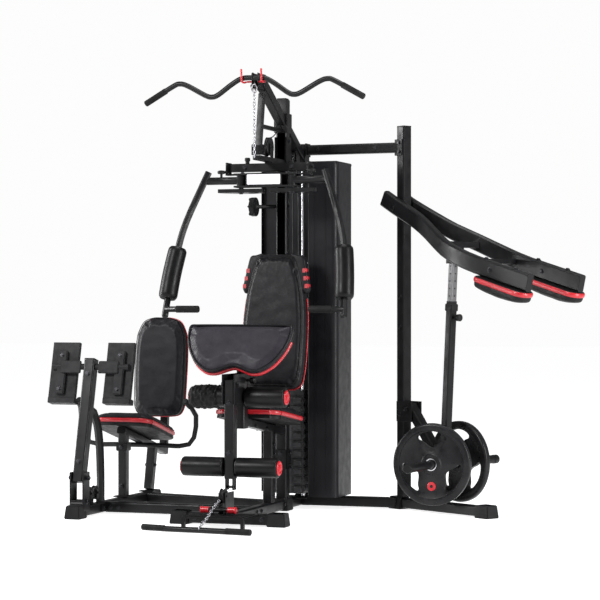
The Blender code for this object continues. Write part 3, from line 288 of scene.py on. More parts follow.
def add_box(bm, low, high, bevel=0.0, matrix=None, segments=2):
    low, high = Vector(low), Vector(high)
    made = bmesh.ops.create_cube(bm, size=1.0)["verts"]
    bmesh.ops.scale(bm, vec=high - low, verts=made)
    bmesh.ops.translate(bm, vec=(low + high) / 2, verts=made)
    if bevel:
        edges = {e for v in made for e in v.link_edges}
        bevelled = bmesh.ops.bevel(bm, geom=list(edges), offset=bevel, segments=segments, affect="EDGES")
        made = list({v for v in made if v.is_valid} | set(bevelled["verts"]))
    if matrix is not None:
        bmesh.ops.transform(bm, matrix=matrix, verts=made)
    return made


def boxes(name, look, rows, body="frame", angle=38):
    """A piece made of eased boxes: low corner, high corner, bevel and, if it is turned, its placing."""
    bm = bmesh.new()
    for row in rows:
        add_box(bm, *row)
    piece(name, bm, look, body, angle=angle)


def capped(*profile):
    """A profile closed to the axis at both ends."""
    return [(profile[0][0], 0), *profile, (profile[-1][0], 0)]


def add_turned(bm, profile, origin, along, sides=32):
    """Turns (distance along, radius) pairs about an axis."""
    verts = [bm.verts.new((x, 0, r)) for x, r in profile]
    edges = [bm.edges.new(pair) for pair in zip(verts, verts[1:])]
    if profile[0][1] > 0:
        edges.append(bm.edges.new((verts[-1], verts[0])))
    bmesh.ops.spin(bm, geom=verts + edges, cent=(0, 0, 0), axis=(1, 0, 0), angle=2 * math.pi, steps=sides)
    whole = set(verts)
    grown = list(verts)
    while grown:
        for edge in grown.pop().link_edges:
            for vert in edge.verts:
                if vert not in whole:
                    whole.add(vert)
                    grown.append(vert)
    bmesh.ops.transform(bm, matrix=aligned(origin, along), verts=list(whole))
    bmesh.ops.remove_doubles(bm, verts=list(whole), dist=1e-6)


def add_rod(bm, origin, along, length, radius, sides):
    add_turned(bm, capped((0, radius), (length, radius)), origin, along, sides)


def turned(name, profile, origin, along, look, body="frame", sides=48):
    bm = bmesh.new()
    add_turned(bm, profile, origin, along, sides)
    return piece(name, bm, look, body)


def smooth_path(points, step, closed=False):
    """Points about a step apart on a Catmull-Rom curve through the given ones."""
    route = [Vector(p) for p in points]
    if closed:
        route = [route[-1]] + route + route[:2]
    else:
        route = [2 * route[0] - route[1]] + route + [2 * route[-1] - route[-2]]
    path = []
    for a, b, c, d in zip(route, route[1:], route[2:], route[3:]):
        count = max(1, round((c - b).length / step))
        for i in range(count):
            u = i / count
            path.append(0.5 * ((2 * b) + (c - a) * u + (2 * a - 5 * b + 4 * c - d) * u * u
                               + (3 * b - a - 3 * c + d) * u ** 3))
    return path if closed else path + [route[-2]]


def angles(count):
    return [2 * math.pi * k / count for k in range(count)]


def circle(radius, sides=16, squash=1.0):
    return [(radius * math.cos(a), squash * radius * math.sin(a)) for a in angles(sides)]


def skin(bm, rings, ends=True, closed=False):
    """Faces between neighbouring rings of vertices, and over the first and last."""
    pairs = list(zip(rings, rings[1:])) + ([(rings[-1], rings[0])] if closed else [])
    for first, second in pairs:
        for i in range(len(first)):
            j = (i + 1) % len(first)
            bm.faces.new((first[i], first[j], second[j], second[i]))
    if ends and not closed:
        bm.faces.new(rings[0])
        bm.faces.new(rings[-1])


def add_tube(bm, path, section, closed=False, up=Z):
    """Sweeps a closed section, points in (side, up) order, along a path."""
    rings = []
    count = len(path)
    for i, point in enumerate(path):
        before = path[i - 1] if closed or i else point
        after = path[(i + 1) % count] if closed or i < count - 1 else point
        along = (after - before).normalized()
        upward = up if abs(along.dot(up)) < 0.98 else Y
        side = along.cross(upward).normalized()
        lift = side.cross(along)
        rings.append([bm.verts.new(point + side * a + lift * b) for a, b in section])
    skin(bm, rings, closed=closed)


def round_tube(name, points, radius, look, body="frame", step=0.015, sides=20, up=Z):
    bm = bmesh.new()
    add_tube(bm, smooth_path(points, step), circle(radius, sides), up=up)
    return piece(name, bm, look, body)


def eye(name, at, radius, wire, steps, look, body):
    """A welded ring that faces sideways."""
    bm = bmesh.new()
    path = [Vector(at) + Vector((0, y, z)) for y, z in circle(radius, steps)]
    add_tube(bm, path, circle(wire, 10), closed=True, up=X)
    piece(name, bm, look, body)


def fasteners(name, places, body="frame", radius=0.008):
    """Hex heads on washers, at (point on the surface, outward direction)."""
    bm = bmesh.new()
    for point, outward in places:
        turn = aligned(point, outward)
        washer = capped((-0.001, radius * 1.45), (0.0012, radius * 1.45), (0.0018, radius * 1.3))
        add_turned(bm, washer, point, outward, 20)
        head = ((0.0015, radius), (0.0062, radius), (0.0074, radius * 0.84))
        skin(bm, [[bm.verts.new(turn @ Vector((x, y, z))) for y, z in circle(r, 6)] for x, r in head])
    piece(name, bm, BOLT_STEEL, body, angle=25)


def both_sides(x, spots, middle=0.0):
    """Fastener places on a left and a right face, at (y, z) spots."""
    return [((middle + side * x, y, z), side * X) for side in (-1, 1) for y, z in spots]


def end_grip(name, start, along, length, body, lead=0.002, radius=0.0148, taper=0.003, sides=32):
    """A rubber sleeve over the end of a round bar."""
    profile = capped((-lead, 0.011), (0, radius), (length, radius), (length + taper, 0.0125))
    turned(name, profile, start, along, STRAP_CLOTH, body, sides)


def cad_mesh(node):
    bm = bmesh.new()
    bm.from_mesh(frame["nodes"][node].data)
    bmesh.ops.remove_doubles(bm, verts=bm.verts, dist=2e-5)
    return bm


def refined(node, look, bevel=0.0, angle=38):
    """A copy of a CAD node with its facets shaded smooth and its hard edges eased, which stands for it."""
    bm = cad_mesh(node)
    bmesh.ops.dissolve_limit(bm, angle_limit=math.radians(1.0), verts=bm.verts, edges=bm.edges)
    if bevel:
        edges = [e for e in bm.edges if len(e.link_faces) == 2 and e.is_convex and e.calc_length() > 0.012
                 and e.calc_face_angle() > math.radians(32)]
        bmesh.ops.bevel(bm, geom=edges, offset=bevel, segments=2, affect="EDGES", clamp_overlap=True)
    slot = next(s["material_slot"] for s in frame["record"]["subparts"] if s["node"] == node)
    made = piece(f"{node}_shell", bm, look, frame["nodes"][node]["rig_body"], slot, angle)
    if bevel:
        flat = made.modifiers.new("flat_faces", "WEIGHTED_NORMAL")
        flat.keep_sharp = True
    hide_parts(node)


# ---------------------------------------------------------------- cushions
CLOTH_STEPS, PRESSURE = 20, 4.0
COVER_VOXEL, PUCKER_DEPTH, BOARD_GAP = 0.005, 0.0012, 0.004
LOWEST_SINK, SIDEWAYS_SHARE = -0.003, 0.3


def pad_plane(node, facing):
    """A flat CAD pad's outline on the side that faces a direction, its face normal, and its thickness."""
    bm = cad_mesh(node)
    bm.normal_update()
    facing = Vector(facing).normalized()
    largest = max((f for f in bm.faces if f.normal.dot(facing) > 0.6), key=lambda f: f.calc_area())
    normal = largest.normal.copy()
    cap = {f for f in bm.faces if f.normal.dot(normal) > 0.999}
    rim = [e for e in bm.edges if sum(f in cap for f in e.link_faces) == 1]
    links = {}
    for edge in rim:
        a, b = edge.verts
        links.setdefault(a, []).append(b)
        links.setdefault(b, []).append(a)
    start = min(links, key=lambda v: (round(v.co.x, 5), round(v.co.y, 5), round(v.co.z, 5)))
    loop, last, here = [start], None, start
    while True:
        nearby = [v for v in links[here] if v is not last]
        last, here = here, nearby[0]
        if here is start:
            break
        loop.append(here)
    outline = [v.co.copy() for v in loop]
    depth = max((outline[0] - v.co).dot(normal) for v in bm.verts)
    bm.free()
    centre = sum(outline, Vector()) / len(outline)
    if sum(((b - a).cross(centre - a)).dot(normal) for a, b in zip(outline, outline[1:] + outline[:1])) < 0:
        outline.reverse()
    return outline, normal, depth, centre


def inset(outline, normal, distance):
    """The outline moved inwards in its own plane."""
    moved = []
    for before, here, after in zip(outline[-1:] + outline[:-1], outline, outline[1:] + outline[:1]):
        along = (after - before).normalized()
        moved.append(here + normal.cross(along) * distance)
    return moved


def prism(bm, outline, normal, low, high, ease):
    """A solid between two heights from the outline's plane, with its top rim eased."""
    levels = [(low, 0.0)]
    levels += [(high + ease * (math.sin(a) - 1), ease * (1 - math.cos(a))) for a in
               (math.pi / 2 * k / 4 for k in range(5))]
    skin(bm, [[bm.verts.new(p + normal * height) for p in inset(outline, normal, inward)]
              for height, inward in levels])


def settle(obj, normal, floor_height, most):
    """Swells a cushion with cloth under pressure, held by its underside, and caps how far it moves."""
    mesh = obj.data
    before = [v.co.copy() for v in mesh.vertices]
    held = obj.vertex_groups.new(name="held")
    held.add([v.index for v in mesh.vertices if v.co.dot(normal) < floor_height + BOARD_GAP], 1.0, "REPLACE")
    cloth = obj.modifiers.new("swell", "CLOTH")
    cloth.settings.quality = 5
    cloth.settings.mass = 0.3
    cloth.settings.tension_stiffness = 8
    cloth.settings.compression_stiffness = 8
    cloth.settings.bending_stiffness = 0.4
    cloth.settings.use_pressure = True
    cloth.settings.uniform_pressure_force = PRESSURE
    cloth.settings.vertex_group_mass = "held"
    cloth.settings.effector_weights.gravity = 0
    cloth.collision_settings.use_collision = False
    cloth.point_cache.frame_start, cloth.point_cache.frame_end = 1, CLOTH_STEPS
    scene = bpy.context.scene
    for step in range(1, CLOTH_STEPS + 1):
        scene.frame_set(step)
    swollen = bpy.data.meshes.new_from_object(obj.evaluated_get(bpy.context.evaluated_depsgraph_get()))
    after = [v.co.copy() for v in swollen.vertices]
    bpy.data.meshes.remove(swollen)
    obj.modifiers.remove(cloth)
    scene.frame_set(1)
    for vert, old, new in zip(mesh.vertices, before, after):
        move = new - old
        rise = normal * max(LOWEST_SINK, move.dot(normal))
        sideways = (move - normal * move.dot(normal)) * SIDEWAYS_SHARE
        move = rise + sideways
        if move.length > most:
            move = move.normalized() * most
        vert.co = old + move


def crown(obj, outline, normal, centre, height):
    """Raises the middle of a cushion's face, falling off towards its outline."""
    reach = max((p - centre).length for p in outline)
    for vert in obj.data.vertices:
        away = vert.co - centre
        above = away.dot(normal)
        flat = (away - normal * above).length / reach
        if above > -0.02:
            vert.co += normal * height * (1 - min(1.0, flat) ** 2)


def cushion(node, body, facing, look, board=0.012, most=0.011, rise=0.005):
    """A stuffed pad in the room of its CAD solid: a swollen cover over a thin board."""
    outline, normal, depth, centre = pad_plane(node, facing)
    outline = smooth_path(outline, 0.012, closed=True)
    bm = bmesh.new()
    prism(bm, inset(outline, normal, 0.0035), normal, board - depth, -0.006, ease=0.016)
    cover = piece(f"{node}_cover", bm, look, body, "vinyl")
    remesh = cover.modifiers.new("even", "REMESH")
    remesh.mode, remesh.voxel_size = "VOXEL", COVER_VOXEL
    graph = bpy.context.evaluated_depsgraph_get()
    even = bpy.data.meshes.new_from_object(cover.evaluated_get(graph))
    cover.modifiers.remove(remesh)
    cover.data = even
    cover.data.materials.clear()
    cover.data.materials.append(look.material)
    settle(cover, normal, (centre - normal * (depth - board)).dot(normal), most)
    crown(cover, outline, normal, centre, rise)
    for vert in cover.data.vertices:
        height = (vert.co - centre).dot(normal) + depth
        strength = max(0.0, min(1.0, (height - board - BOARD_GAP) / 0.02))
        vert.co += normal * PUCKER_DEPTH * strength * noise.noise(vert.co * 21)
    cover.data.shade_smooth()
    relax = cover.modifiers.new("relax", "SMOOTH")
    relax.factor, relax.iterations = 0.5, 4
    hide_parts(node)
    bm = bmesh.new()
    prism(bm, inset(outline, normal, 0.004), normal, 0.0005 - depth, board - depth + 0.002, ease=0.002)
    piece(f"{node}_board", bm, PAN_PLASTIC, body)
    return outline, normal, depth, centre


def welt(name, pad, height, radius, look, body="frame", tall=1.0, inward=0.0, part=None):
    """Piping or a band around a cushion, or along one part of it, at a height below its face."""
    outline, normal = pad[:2]
    path = [p + normal * height for p in inset(outline, normal, inward)]
    if part:
        start = next((i for i in range(len(path)) if part(path[i]) and not part(path[i - 1])), 0)
        path = [p for p in path[start:] + path[:start] if part(p)]
    bm = bmesh.new()
    add_tube(bm, path, circle(radius, 12, tall), part is None, normal)
    piece(name, bm, look, body, "vinyl")


def build_seat(name):
    seat = cushion(f"{name}_seat_pad", "frame", Z, SEAT_VINYL)
    welt(f"{name}_seat_band", seat, -0.036, 0.0055, RED_VINYL, tall=1.9, inward=0.0035)
    welt(f"{name}_seat_seam", seat, -0.021, 0.0022, PAN_PLASTIC, inward=0.0045)


def build_cushions():
    build_seat("main")
    back = cushion("main_back_pad", "frame", -Y, BACK_VINYL)
    welt("main_back_piping", back, -0.044, 0.003, RED_VINYL, inward=0.001, part=lambda p: p.z < 1.05)
    welt("main_back_seam", back, 0.0005, 0.0016, PAN_PLASTIC, inward=0.022)
    build_wings(back)

    build_seat("side")
    rest = cushion("side_back_pad", "frame", -Y, SEAT_VINYL)
    welt("side_back_piping", rest, -0.052, 0.0028, RED_VINYL, inward=0.002)
    welt("side_back_seam", rest, -0.018, 0.0022, PAN_PLASTIC, inward=0.0045)

    # The preacher face carries the painted-light copy of the leatherette; its rim keeps the darker back
    # leatherette.
    curl = cushion("preacher_pad", "preacher", (0, -0.86, 0.5), PREACHER_PAINTED_LIGHT_VINYL, rise=0.003)
    band_top = max(p.z for p in curl[0]) - 0.085
    welt("preacher_band", curl, -0.045, 0.0062, RED_VINYL, "preacher", 1.5, 0.003, lambda p: p.z < band_top)
    welt("preacher_rim", curl, -0.0175, 0.006, BACK_VINYL, "preacher", 1.9, 0.005)

    for name in ("near", "far"):
        pad = cushion(f"shoulder_pad_{name}", "squat_arm_swing", -Z, PAN_PLASTIC, board=0.01, most=0.008,
                      rise=0.008)
        welt(f"shoulder_band_{name}", pad, -0.042, 0.0052, RED_VINYL, "squat_arm_swing", 2.1, 0.003)


def build_wings(back):
    """Padded grips that widen the back cushion's shoulders, each with three red ribs on its outer edge."""
    _, normal, _, centre = back
    up = normal.cross(X)
    if up.z < 0:
        up = -up
    half = [(0.07, 0.334), (0.112, 0.336), (0.138, 0.328), (0.151, 0.28), (0.163, 0.22), (0.171, 0.178),
            (0.167, 0.16), (0.15, 0.148), (0.11, 0.205)]
    for side, name in SIDES:
        outline = [centre + X * side * x + up * h for x, h in half]
        if sum((b - a).cross(centre - a).dot(normal) for a, b in zip(outline, outline[1:])) < 0:
            outline.reverse()
        bm = bmesh.new()
        prism(bm, smooth_path(outline, 0.01, closed=True), normal, -0.052, -0.016, ease=0.01)
        piece(f"back_wing_{name}", bm, BACK_VINYL, angle=60)
        bm = bmesh.new()
        for h in (0.182, 0.22, 0.258):
            x = 0.152 + (0.262 - h) * 0.19
            place = Matrix((X, normal, up)).transposed().to_4x4()
            place.translation = centre + X * side * (x - 0.009) + up * h - normal * 0.033
            add_box(bm, (-0.0125, -0.016, -0.0155), (0.0125, 0.0195, 0.0155), 0.0055, place, 3)
        piece(f"back_wing_ribs_{name}", bm, RED_VINYL)


# ---------------------------------------------------------------- rollers, chains, cables
def foam(name, node, start, end, radius, body):
    """A moulded foam roller with rounded rims and a red end cap."""
    start, end = Vector(start), Vector(end)
    along = end - start
    length = along.length
    rim = 0.009
    inner = radius - rim
    steps = [math.pi / 2 * k / 5 for k in range(6)]
    profile = [(0.001, ROLLER_BORE), (0.0, inner)]
    profile += [(rim - rim * math.cos(a), inner + rim * math.sin(a)) for a in steps[1:]]
    profile += [(length / 2, radius + 0.0007)]
    profile += [(length - rim + rim * math.sin(a), inner + rim * math.cos(a)) for a in steps]
    profile += [(length - 0.001, ROLLER_BORE)]
    made = turned(name, profile, start, along, FOAM_SKIN, body, 56)
    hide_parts(node)
    out = along.normalized()
    cap = capped((-0.002, 0.033), (0.002, 0.034), (0.0055, 0.031), (0.0065, 0.026), (0.0045, 0.023),
                 (0.0045, 0.0155), (0.0075, 0.014), (0.0085, 0.01))
    turned(f"{name}_cap", cap, end + out * 0.0002, out, RED_PLASTIC, body, 36)


def chain(name, points, body="frame", length=0.021, wire=0.0021, wide=0.0062):
    """Welded links along a route, each a quarter turn from the last."""
    path = smooth_path(points, 0.002)
    pitch = length - 2 * wire - 0.0006
    spots, travelled, target = [], 0.0, length / 2
    for a, b in zip(path, path[1:]):
        step = (b - a).length
        while travelled + step >= target:
            spots.append((a.lerp(b, (target - travelled) / step), (b - a).normalized()))
            target += pitch
        travelled += step
    bm = bmesh.new()
    for i, (spot, along) in enumerate(spots):
        matrix = aligned(spot, along, up=X) @ Matrix.Rotation(math.pi / 2 * (i % 2) + math.pi / 4, 4, "X")
        straight = length / 2 - wide
        ring = []
        for end, first in ((1, -90), (-1, 90)):
            for k in range(7):
                angle = math.radians(first + 30 * k)
                ring.append(matrix @ Vector((end * straight + wide * math.cos(angle) * 0.86,
                                             wide * math.sin(angle) * 0.86, 0)))
        add_tube(bm, ring, circle(wire, 8), closed=True, up=matrix.to_3x3() @ Z)
    return piece(name, bm, ZINC, body, angle=60)


def snap_hook(name, top, size):
    """An oval spring hook that hangs from a point."""
    top = Vector(top)
    gate = 0.013
    oval = [top + Vector((gate * math.cos(a), 0, size / 2 * (math.sin(a) - 1))) for a in angles(28)]
    bm = bmesh.new()
    add_tube(bm, oval, circle(0.0032, 10), closed=True, up=Y)
    add_rod(bm, top + Vector((gate, 0, -size / 2 - 0.009)), Z, 0.018, 0.0044, 14)
    piece(name, bm, ZINC)


def wheel(name, at, radius):
    """A cable pulley with a rounded groove, recessed sides and a hub."""
    half = 0.009
    profile = [(-half, 0.0), (-half, 0.012), (-half + 0.003, 0.014), (-half + 0.003, radius - 0.01),
               (-half, radius - 0.007), (-half, radius - 0.001), (-half + 0.0012, radius)]
    groove = [(-0.0045, radius - 0.0008), (-0.0032, radius - 0.005), (0, radius - GROOVE_DEPTH)]
    right = [(-x, r) for x, r in reversed(profile + groove[:-1])]
    turned(name, profile + groove + right, at, X, KNOB_PLASTIC, sides=56)


def build_soft_goods():
    for row, inner, radius, body in (("upper", 0.04, 0.0475, "frame"),
                                     ("lower", 0.03, 0.045, "leg_developer")):
        low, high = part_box(f"{row}_roller_right")
        y, z = (low.y + high.y) / 2, (low.z + high.z) / 2
        for side, name in SIDES:
            foam(f"{row}_foam_{name}", f"{row}_roller_{name}", (side * inner, y, z), (side * ROLLER_END, y, z),
                 radius, body)
        if row == "upper":
            build_strap(y, z)


def build_strap(y, z):
    """A crumpled ankle strap wound on the upper left roller."""
    sides, rows = 72, 44
    first, last = -0.085, -0.2365
    bm = bmesh.new()

    def around(x, radii):
        return [bm.verts.new((x, y + r * math.cos(a), z + r * math.sin(a)))
                for r, a in zip(radii, angles(sides))]

    rings = [around(first, [0.0478] * sides)]
    for row in range(rows + 1):
        u = row / rows
        x = first + (last - first) * u
        swell = 0.0505 + 0.0035 * math.sin(math.pi * u) - 0.012 * max(0.0, u - 0.86) / 0.14
        swell -= 0.008 * max(0.0, 0.08 - u) / 0.08
        radii = []
        for angle in angles(sides):
            point = Vector((x * 46, math.cos(angle) * 2.0, math.sin(angle) * 2.0))
            ridge = abs(noise.noise(point)) * 0.0085 + 0.0026 * noise.noise(point * 2.7)
            ridge -= 0.003 * max(0.0, math.cos(x * 190 + 1.5 * math.sin(angle) + math.cos(2 * angle))) ** 6
            radii.append(swell + ridge)
        rings.append(around(x, radii))
    rings.append(around(last, [0.036] * sides))
    skin(bm, rings, ends=False)
    piece("ankle_strap", bm, STRAP_CLOTH, angle=75)


def over_wheel(y, z, radius, start, step, count):
    """Cable points on a pulley, by the angle up from its rear, in degrees."""
    turns = (math.radians(start + step * k) for k in range(count))
    return [(0, y + radius * math.cos(a), z + radius * math.sin(a)) for a in turns]


def cable_run(name, route, step=0.01):
    round_tube(name, route, CABLE_RADIUS, CABLE_JACKET, step=step, sides=12)


def build_chains_and_cables():
    low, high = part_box("high_chain")
    at_y = (low.y + high.y) / 2
    links = chain("high_chain_links", [(0, at_y, high.z - 0.004), (0, at_y, 1.9), (0, at_y, low.z)])
    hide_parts("high_chain")
    snap_hook("chain_snap_hook", (0, at_y, high.z + 0.016), 0.04)
    low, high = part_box("low_chain")
    route = [(0, high.y, high.z - 0.006), (0, -0.93, 0.1), (0, -1.02, 0.058), (0, low.y + 0.004, low.z + 0.006)]
    links = chain("low_chain_links", route, "low_handle")
    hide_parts("low_chain")

    low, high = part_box("lift_cable")
    top = high.z
    reach = top - low.z
    bm = bmesh.new()
    add_rod(bm, (0, STACK_Y, low.z), Z, reach, CABLE_RADIUS, 16)
    cable = piece("lift_cable_run", bm, CABLE_JACKET)
    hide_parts("lift_cable")
    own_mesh(cable)

    wheel_at, wheel_radius = Vector((0, STACK_Y + 0.03, 1.745)), 0.0337
    down_y, eye_z = 0.236, 0.078
    wheel("stack_pulley", wheel_at, wheel_radius)
    rounded = over_wheel(wheel_at.y, wheel_at.z, wheel_radius - GROOVE_DEPTH + CABLE_RADIUS, 180, -22.5, 9)
    down = [(0, 0.218, 1.66), (0, down_y, 1.5), (0, down_y, 0.6), (0, down_y, eye_z)]
    cable_run("stack_cable_run", [(0, STACK_Y, top)] + rounded + down, 0.02)
    bm = bmesh.new()
    add_box(bm, (-0.016, down_y - 0.012, BASE_TOP), (0.016, down_y + 0.012, 0.0605), 0.001)
    add_turned(bm, capped((0, 0.0065), (0.026, 0.0065), (0.028, 0.0045)), (0, down_y, 0.058), Z, 20)
    piece("cable_anchor", bm, BOLT_STEEL)
    rounded = over_wheel(-0.362, 2.07, 0.038 - GROOVE_DEPTH + CABLE_RADIUS, 180, -105 / 8, 9)
    cable_run("high_cable_run", [(0, at_y + 0.004, 2.052)] + rounded[1:] + [(0, -0.3, 2.062)])
    rounded = over_wheel(-0.202, 1.774, 0.047 - GROOVE_DEPTH + CABLE_RADIUS, 200, -18, 8)
    cable_run("arm_cable_run", rounded + [(0, -0.12, 1.838), (0, -0.034, 1.888)])


# ---------------------------------------------------------------- hardware on the frame
def shoe(bm, at, turn=0.0, tall=0.062, length=0.0785, wide=0.0675):
    """A flared rubber shoe over the end of a base tube."""
    place = Matrix.Translation(at) @ Matrix.Rotation(turn, 4, "Z")
    made = add_box(bm, (-wide / 2, -length / 2, 0.0), (wide / 2, length / 2, tall), 0.004)
    for vert in made:
        spread = 0.007 * max(0.0, 1 - vert.co.z / tall)
        vert.co.x += math.copysign(spread, vert.co.x)
        vert.co.y += math.copysign(spread, vert.co.y)
    bmesh.ops.transform(bm, matrix=place, verts=made)


def build_shoes():
    bm = bmesh.new()
    shoe(bm, (0, 0, 0), tall=0.0615)
    shoe(bm, (0, 0.325, 0))
    for side in (-1, 1):
        shoe(bm, (side * 0.238, -0.735, 0), math.pi / 2)
    shoe(bm, (PRESS_X, -0.705, 0), tall=0.064)
    shoe(bm, (PRESS_X, 0.215, 0))
    shoe(bm, squat(0.585, 0, 0), SQUAT_TURN - math.pi / 2)
    shoe(bm, squat(-0.035, 0, 0), SQUAT_TURN - math.pi / 2, 0.0615, 0.0755, 0.0645)
    piece("rubber_shoes", bm, FOOT_RUBBER)


def plate_pair(low, high, bevel):
    """Two equal plates, mirrored from right to left, as rows for boxes()."""
    mirrored = ((-high[0], *low[1:]), (-low[0], *high[1:]), bevel)
    return [mirrored, (low, high, bevel)]


def build_frame_hardware():
    upright_face = Matrix.Translation(SQUAT_AT) @ Matrix.Rotation(SQUAT_TURN, 4, "Z")
    flanges = [((-0.0255, -0.475, 0.012), (-0.031, -0.325, 0.05), 0.001),
               ((PRESS_X + 0.0255, -0.475, 0.012), (PRESS_X + 0.031, -0.325, 0.05), 0.001),
               ((0.0255, 0.205, 0.012), (0.0305, 0.3, 0.052), 0.001),
               ((0.0305, 0.246, 1.757), (0.0365, 0.318, 1.823), 0.001),
               ((-0.0335, -0.034, 1.75), (-0.028, 0.034, 1.83), 0.001, upright_face),
               ((-0.03, -0.0345, 1.75), (0.02, -0.028, 1.83), 0.001, upright_face)]
    sleeve = [((-0.033, -0.036, 0.205), (0.033, -0.028, 0.3), 0.0015),
              ((0.028, -0.036, 0.205), (0.0335, 0.03, 0.3), 0.0015),
              ((-0.0335, -0.036, 0.205), (-0.028, 0.03, 0.3), 0.0015)]
    cheeks = plate_pair((0.0278, -0.034, 1.7), (0.0325, 0.034, 1.835), 0.0018)
    cheeks += plate_pair((0.0205, -0.376, 1.7235), (0.0255, -0.322, 1.775), 0.0018)
    cheeks += [((-0.0255, -0.377, 1.7235), (0.0255, -0.3725, 1.77), 0.001)]
    boxes("frame_plates", PLATE_PAINT, flanges + sleeve + cheeks, angle=30)

    boom_end = aligned((0, 0.31, 1.7295), (0, 1, -0.55))
    caps = [((-0.025, -0.025, 2.019), (0.025, 0.025, 2.026), 0.003),
            ((-0.0272, -0.0272, 1.889), (0.0272, 0.0272, 1.897), 0.003, upright_face),
            ((-0.002, -0.0235, -0.0235), (0.005, 0.0235, 0.0235), 0.002, boom_end)]
    for side in (-1, 1):
        caps.append(((side * 0.2015 - 0.003, CROSS_Y - 0.0185, CROSS_Z - 0.0185),
                     (side * 0.2015 + 0.0005, CROSS_Y + 0.0185, CROSS_Z + 0.0185), 0.001))
    boxes("tube_caps", KNOB_PLASTIC, caps)

    front, right, left = -Y, X, -X
    bolt_z = 0.031
    places = [((x, -0.4252, bolt_z), front) for x in (-0.735, -0.695, -0.085, -0.05)]
    for y in (-0.452, -0.348):
        places += [((-0.0312, y, bolt_z), left), ((PRESS_X + 0.0312, y, bolt_z), right)]
    places += [((0.0252, y, bolt_z), right) for y in (-0.6, -0.43, -0.37, -0.05, 0.05)]
    places += [((x, -0.7602, bolt_z), front) for x in (-0.165, 0.165)]
    places += [((0.0, -0.0365, z), front) for z in (0.225, 0.28)]
    places += [((0.0337, 0.0, z), right) for z in (0.225, 0.28)]
    places += both_sides(0.0327, ((0.0, 1.718), (0.0, 1.815)))
    places += both_sides(0.0257, ((-0.348, 1.737), (-0.348, 1.761)))
    places += both_sides(0.0168, ((-0.388, 2.05), (-0.312, 2.1)))
    places += [((x, CROSS_Y - 0.0202, CROSS_Z), front) for x in (-0.12, 0.12)]
    places += [(squat(0.0, -0.0347, z), -ACROSS) for z in (1.768, 1.812)]
    places += [(squat(0.0, -0.0277, z), -ACROSS) for z in (1.05, 0.9)]
    places += [((0.1, 0.258, LINK_Z), front), ((0.4, 0.242, LINK_Z), front)]
    fasteners("frame_bolts", places)


def build_hooks():
    """Red hooks that carry the lat bar in front of the head."""
    under = LAT_BAR_Z - LAT_BAR_RADIUS - 0.007
    front = LAT_BAR_Y - LAT_BAR_RADIUS - 0.0085
    for side, name in SIDES:
        x = side * 0.05
        tip = Vector((x, front - 0.003, LAT_BAR_Z + 0.036))
        route = [(side * 0.018, -0.392, under + 0.004), (x - side * 0.006, -0.392, under + 0.004),
                 (x, -0.402, under), (x, LAT_BAR_Y, under - 0.001), (x, front + 0.003, under + 0.004),
                 (x, front, under + 0.022), tip]
        bm = bmesh.new()
        add_tube(bm, smooth_path(route, 0.003), circle(0.0046, 14), up=X)
        bmesh.ops.create_uvsphere(bm, u_segments=14, v_segments=8, radius=0.0052,
                                  matrix=Matrix.Translation(tip))
        piece(f"bar_hook_{name}", bm, RED_PLASTIC, slot="black_steel", angle=60)


def build_head():
    """Knobs, plates and bolts around the press arm's hinge."""
    bm = bmesh.new()
    knob_z = CROSS_Z + 0.0195
    add_turned(bm, capped((0, 0.01), (0.012, 0.01), (0.014, 0.0135), (0.026, 0.0135), (0.03, 0.01)),
               (-0.115, CROSS_Y, knob_z), Z, 24)
    add_turned(bm, capped((0, 0.01), (0.009, 0.01), (0.012, 0.007)), (0.115, CROSS_Y, knob_z), Z, 24)
    piece("crosspiece_knobs", bm, KNOB_PLASTIC)
    boxes("blank_name_plate", BLANK_PLATE, [((-0.09, -0.2685, 1.59), (0.08, -0.2635, 1.6385), 0.0022)],
          "press_arm")
    boxes("name_plate_backing", PLATE_PAINT, [((-0.098, -0.2636, 1.583), (0.088, -0.261, 1.6455), 0.001)],
          "press_arm")
    places = [((side * 0.118, -0.25, 1.6452), Z) for side in (-1, 1)]
    places += both_sides(0.2117, ((-0.192, 1.675), (-0.222, 1.655)))
    fasteners("press_arm_bolts", places, "press_arm")
    knob = [(0, 0), (0, 0.006), (0.016, 0.006), (0.018, 0.016), (0.022, 0.019), (0.03, 0.019), (0.034, 0.014),
            (0.036, 0.0)]
    for side, name in SIDES:
        turned(f"fly_pin_knob_{name}", knob, (side * 0.232, -0.2385, 1.6275), Z, KNOB_PLASTIC,
               f"fly_{name}", 28)
        fasteners(f"fly_pivot_bolt_{name}", [((side * FLY_X, FLY_Y, 1.5525), -Z)], f"fly_{name}", 0.0105)


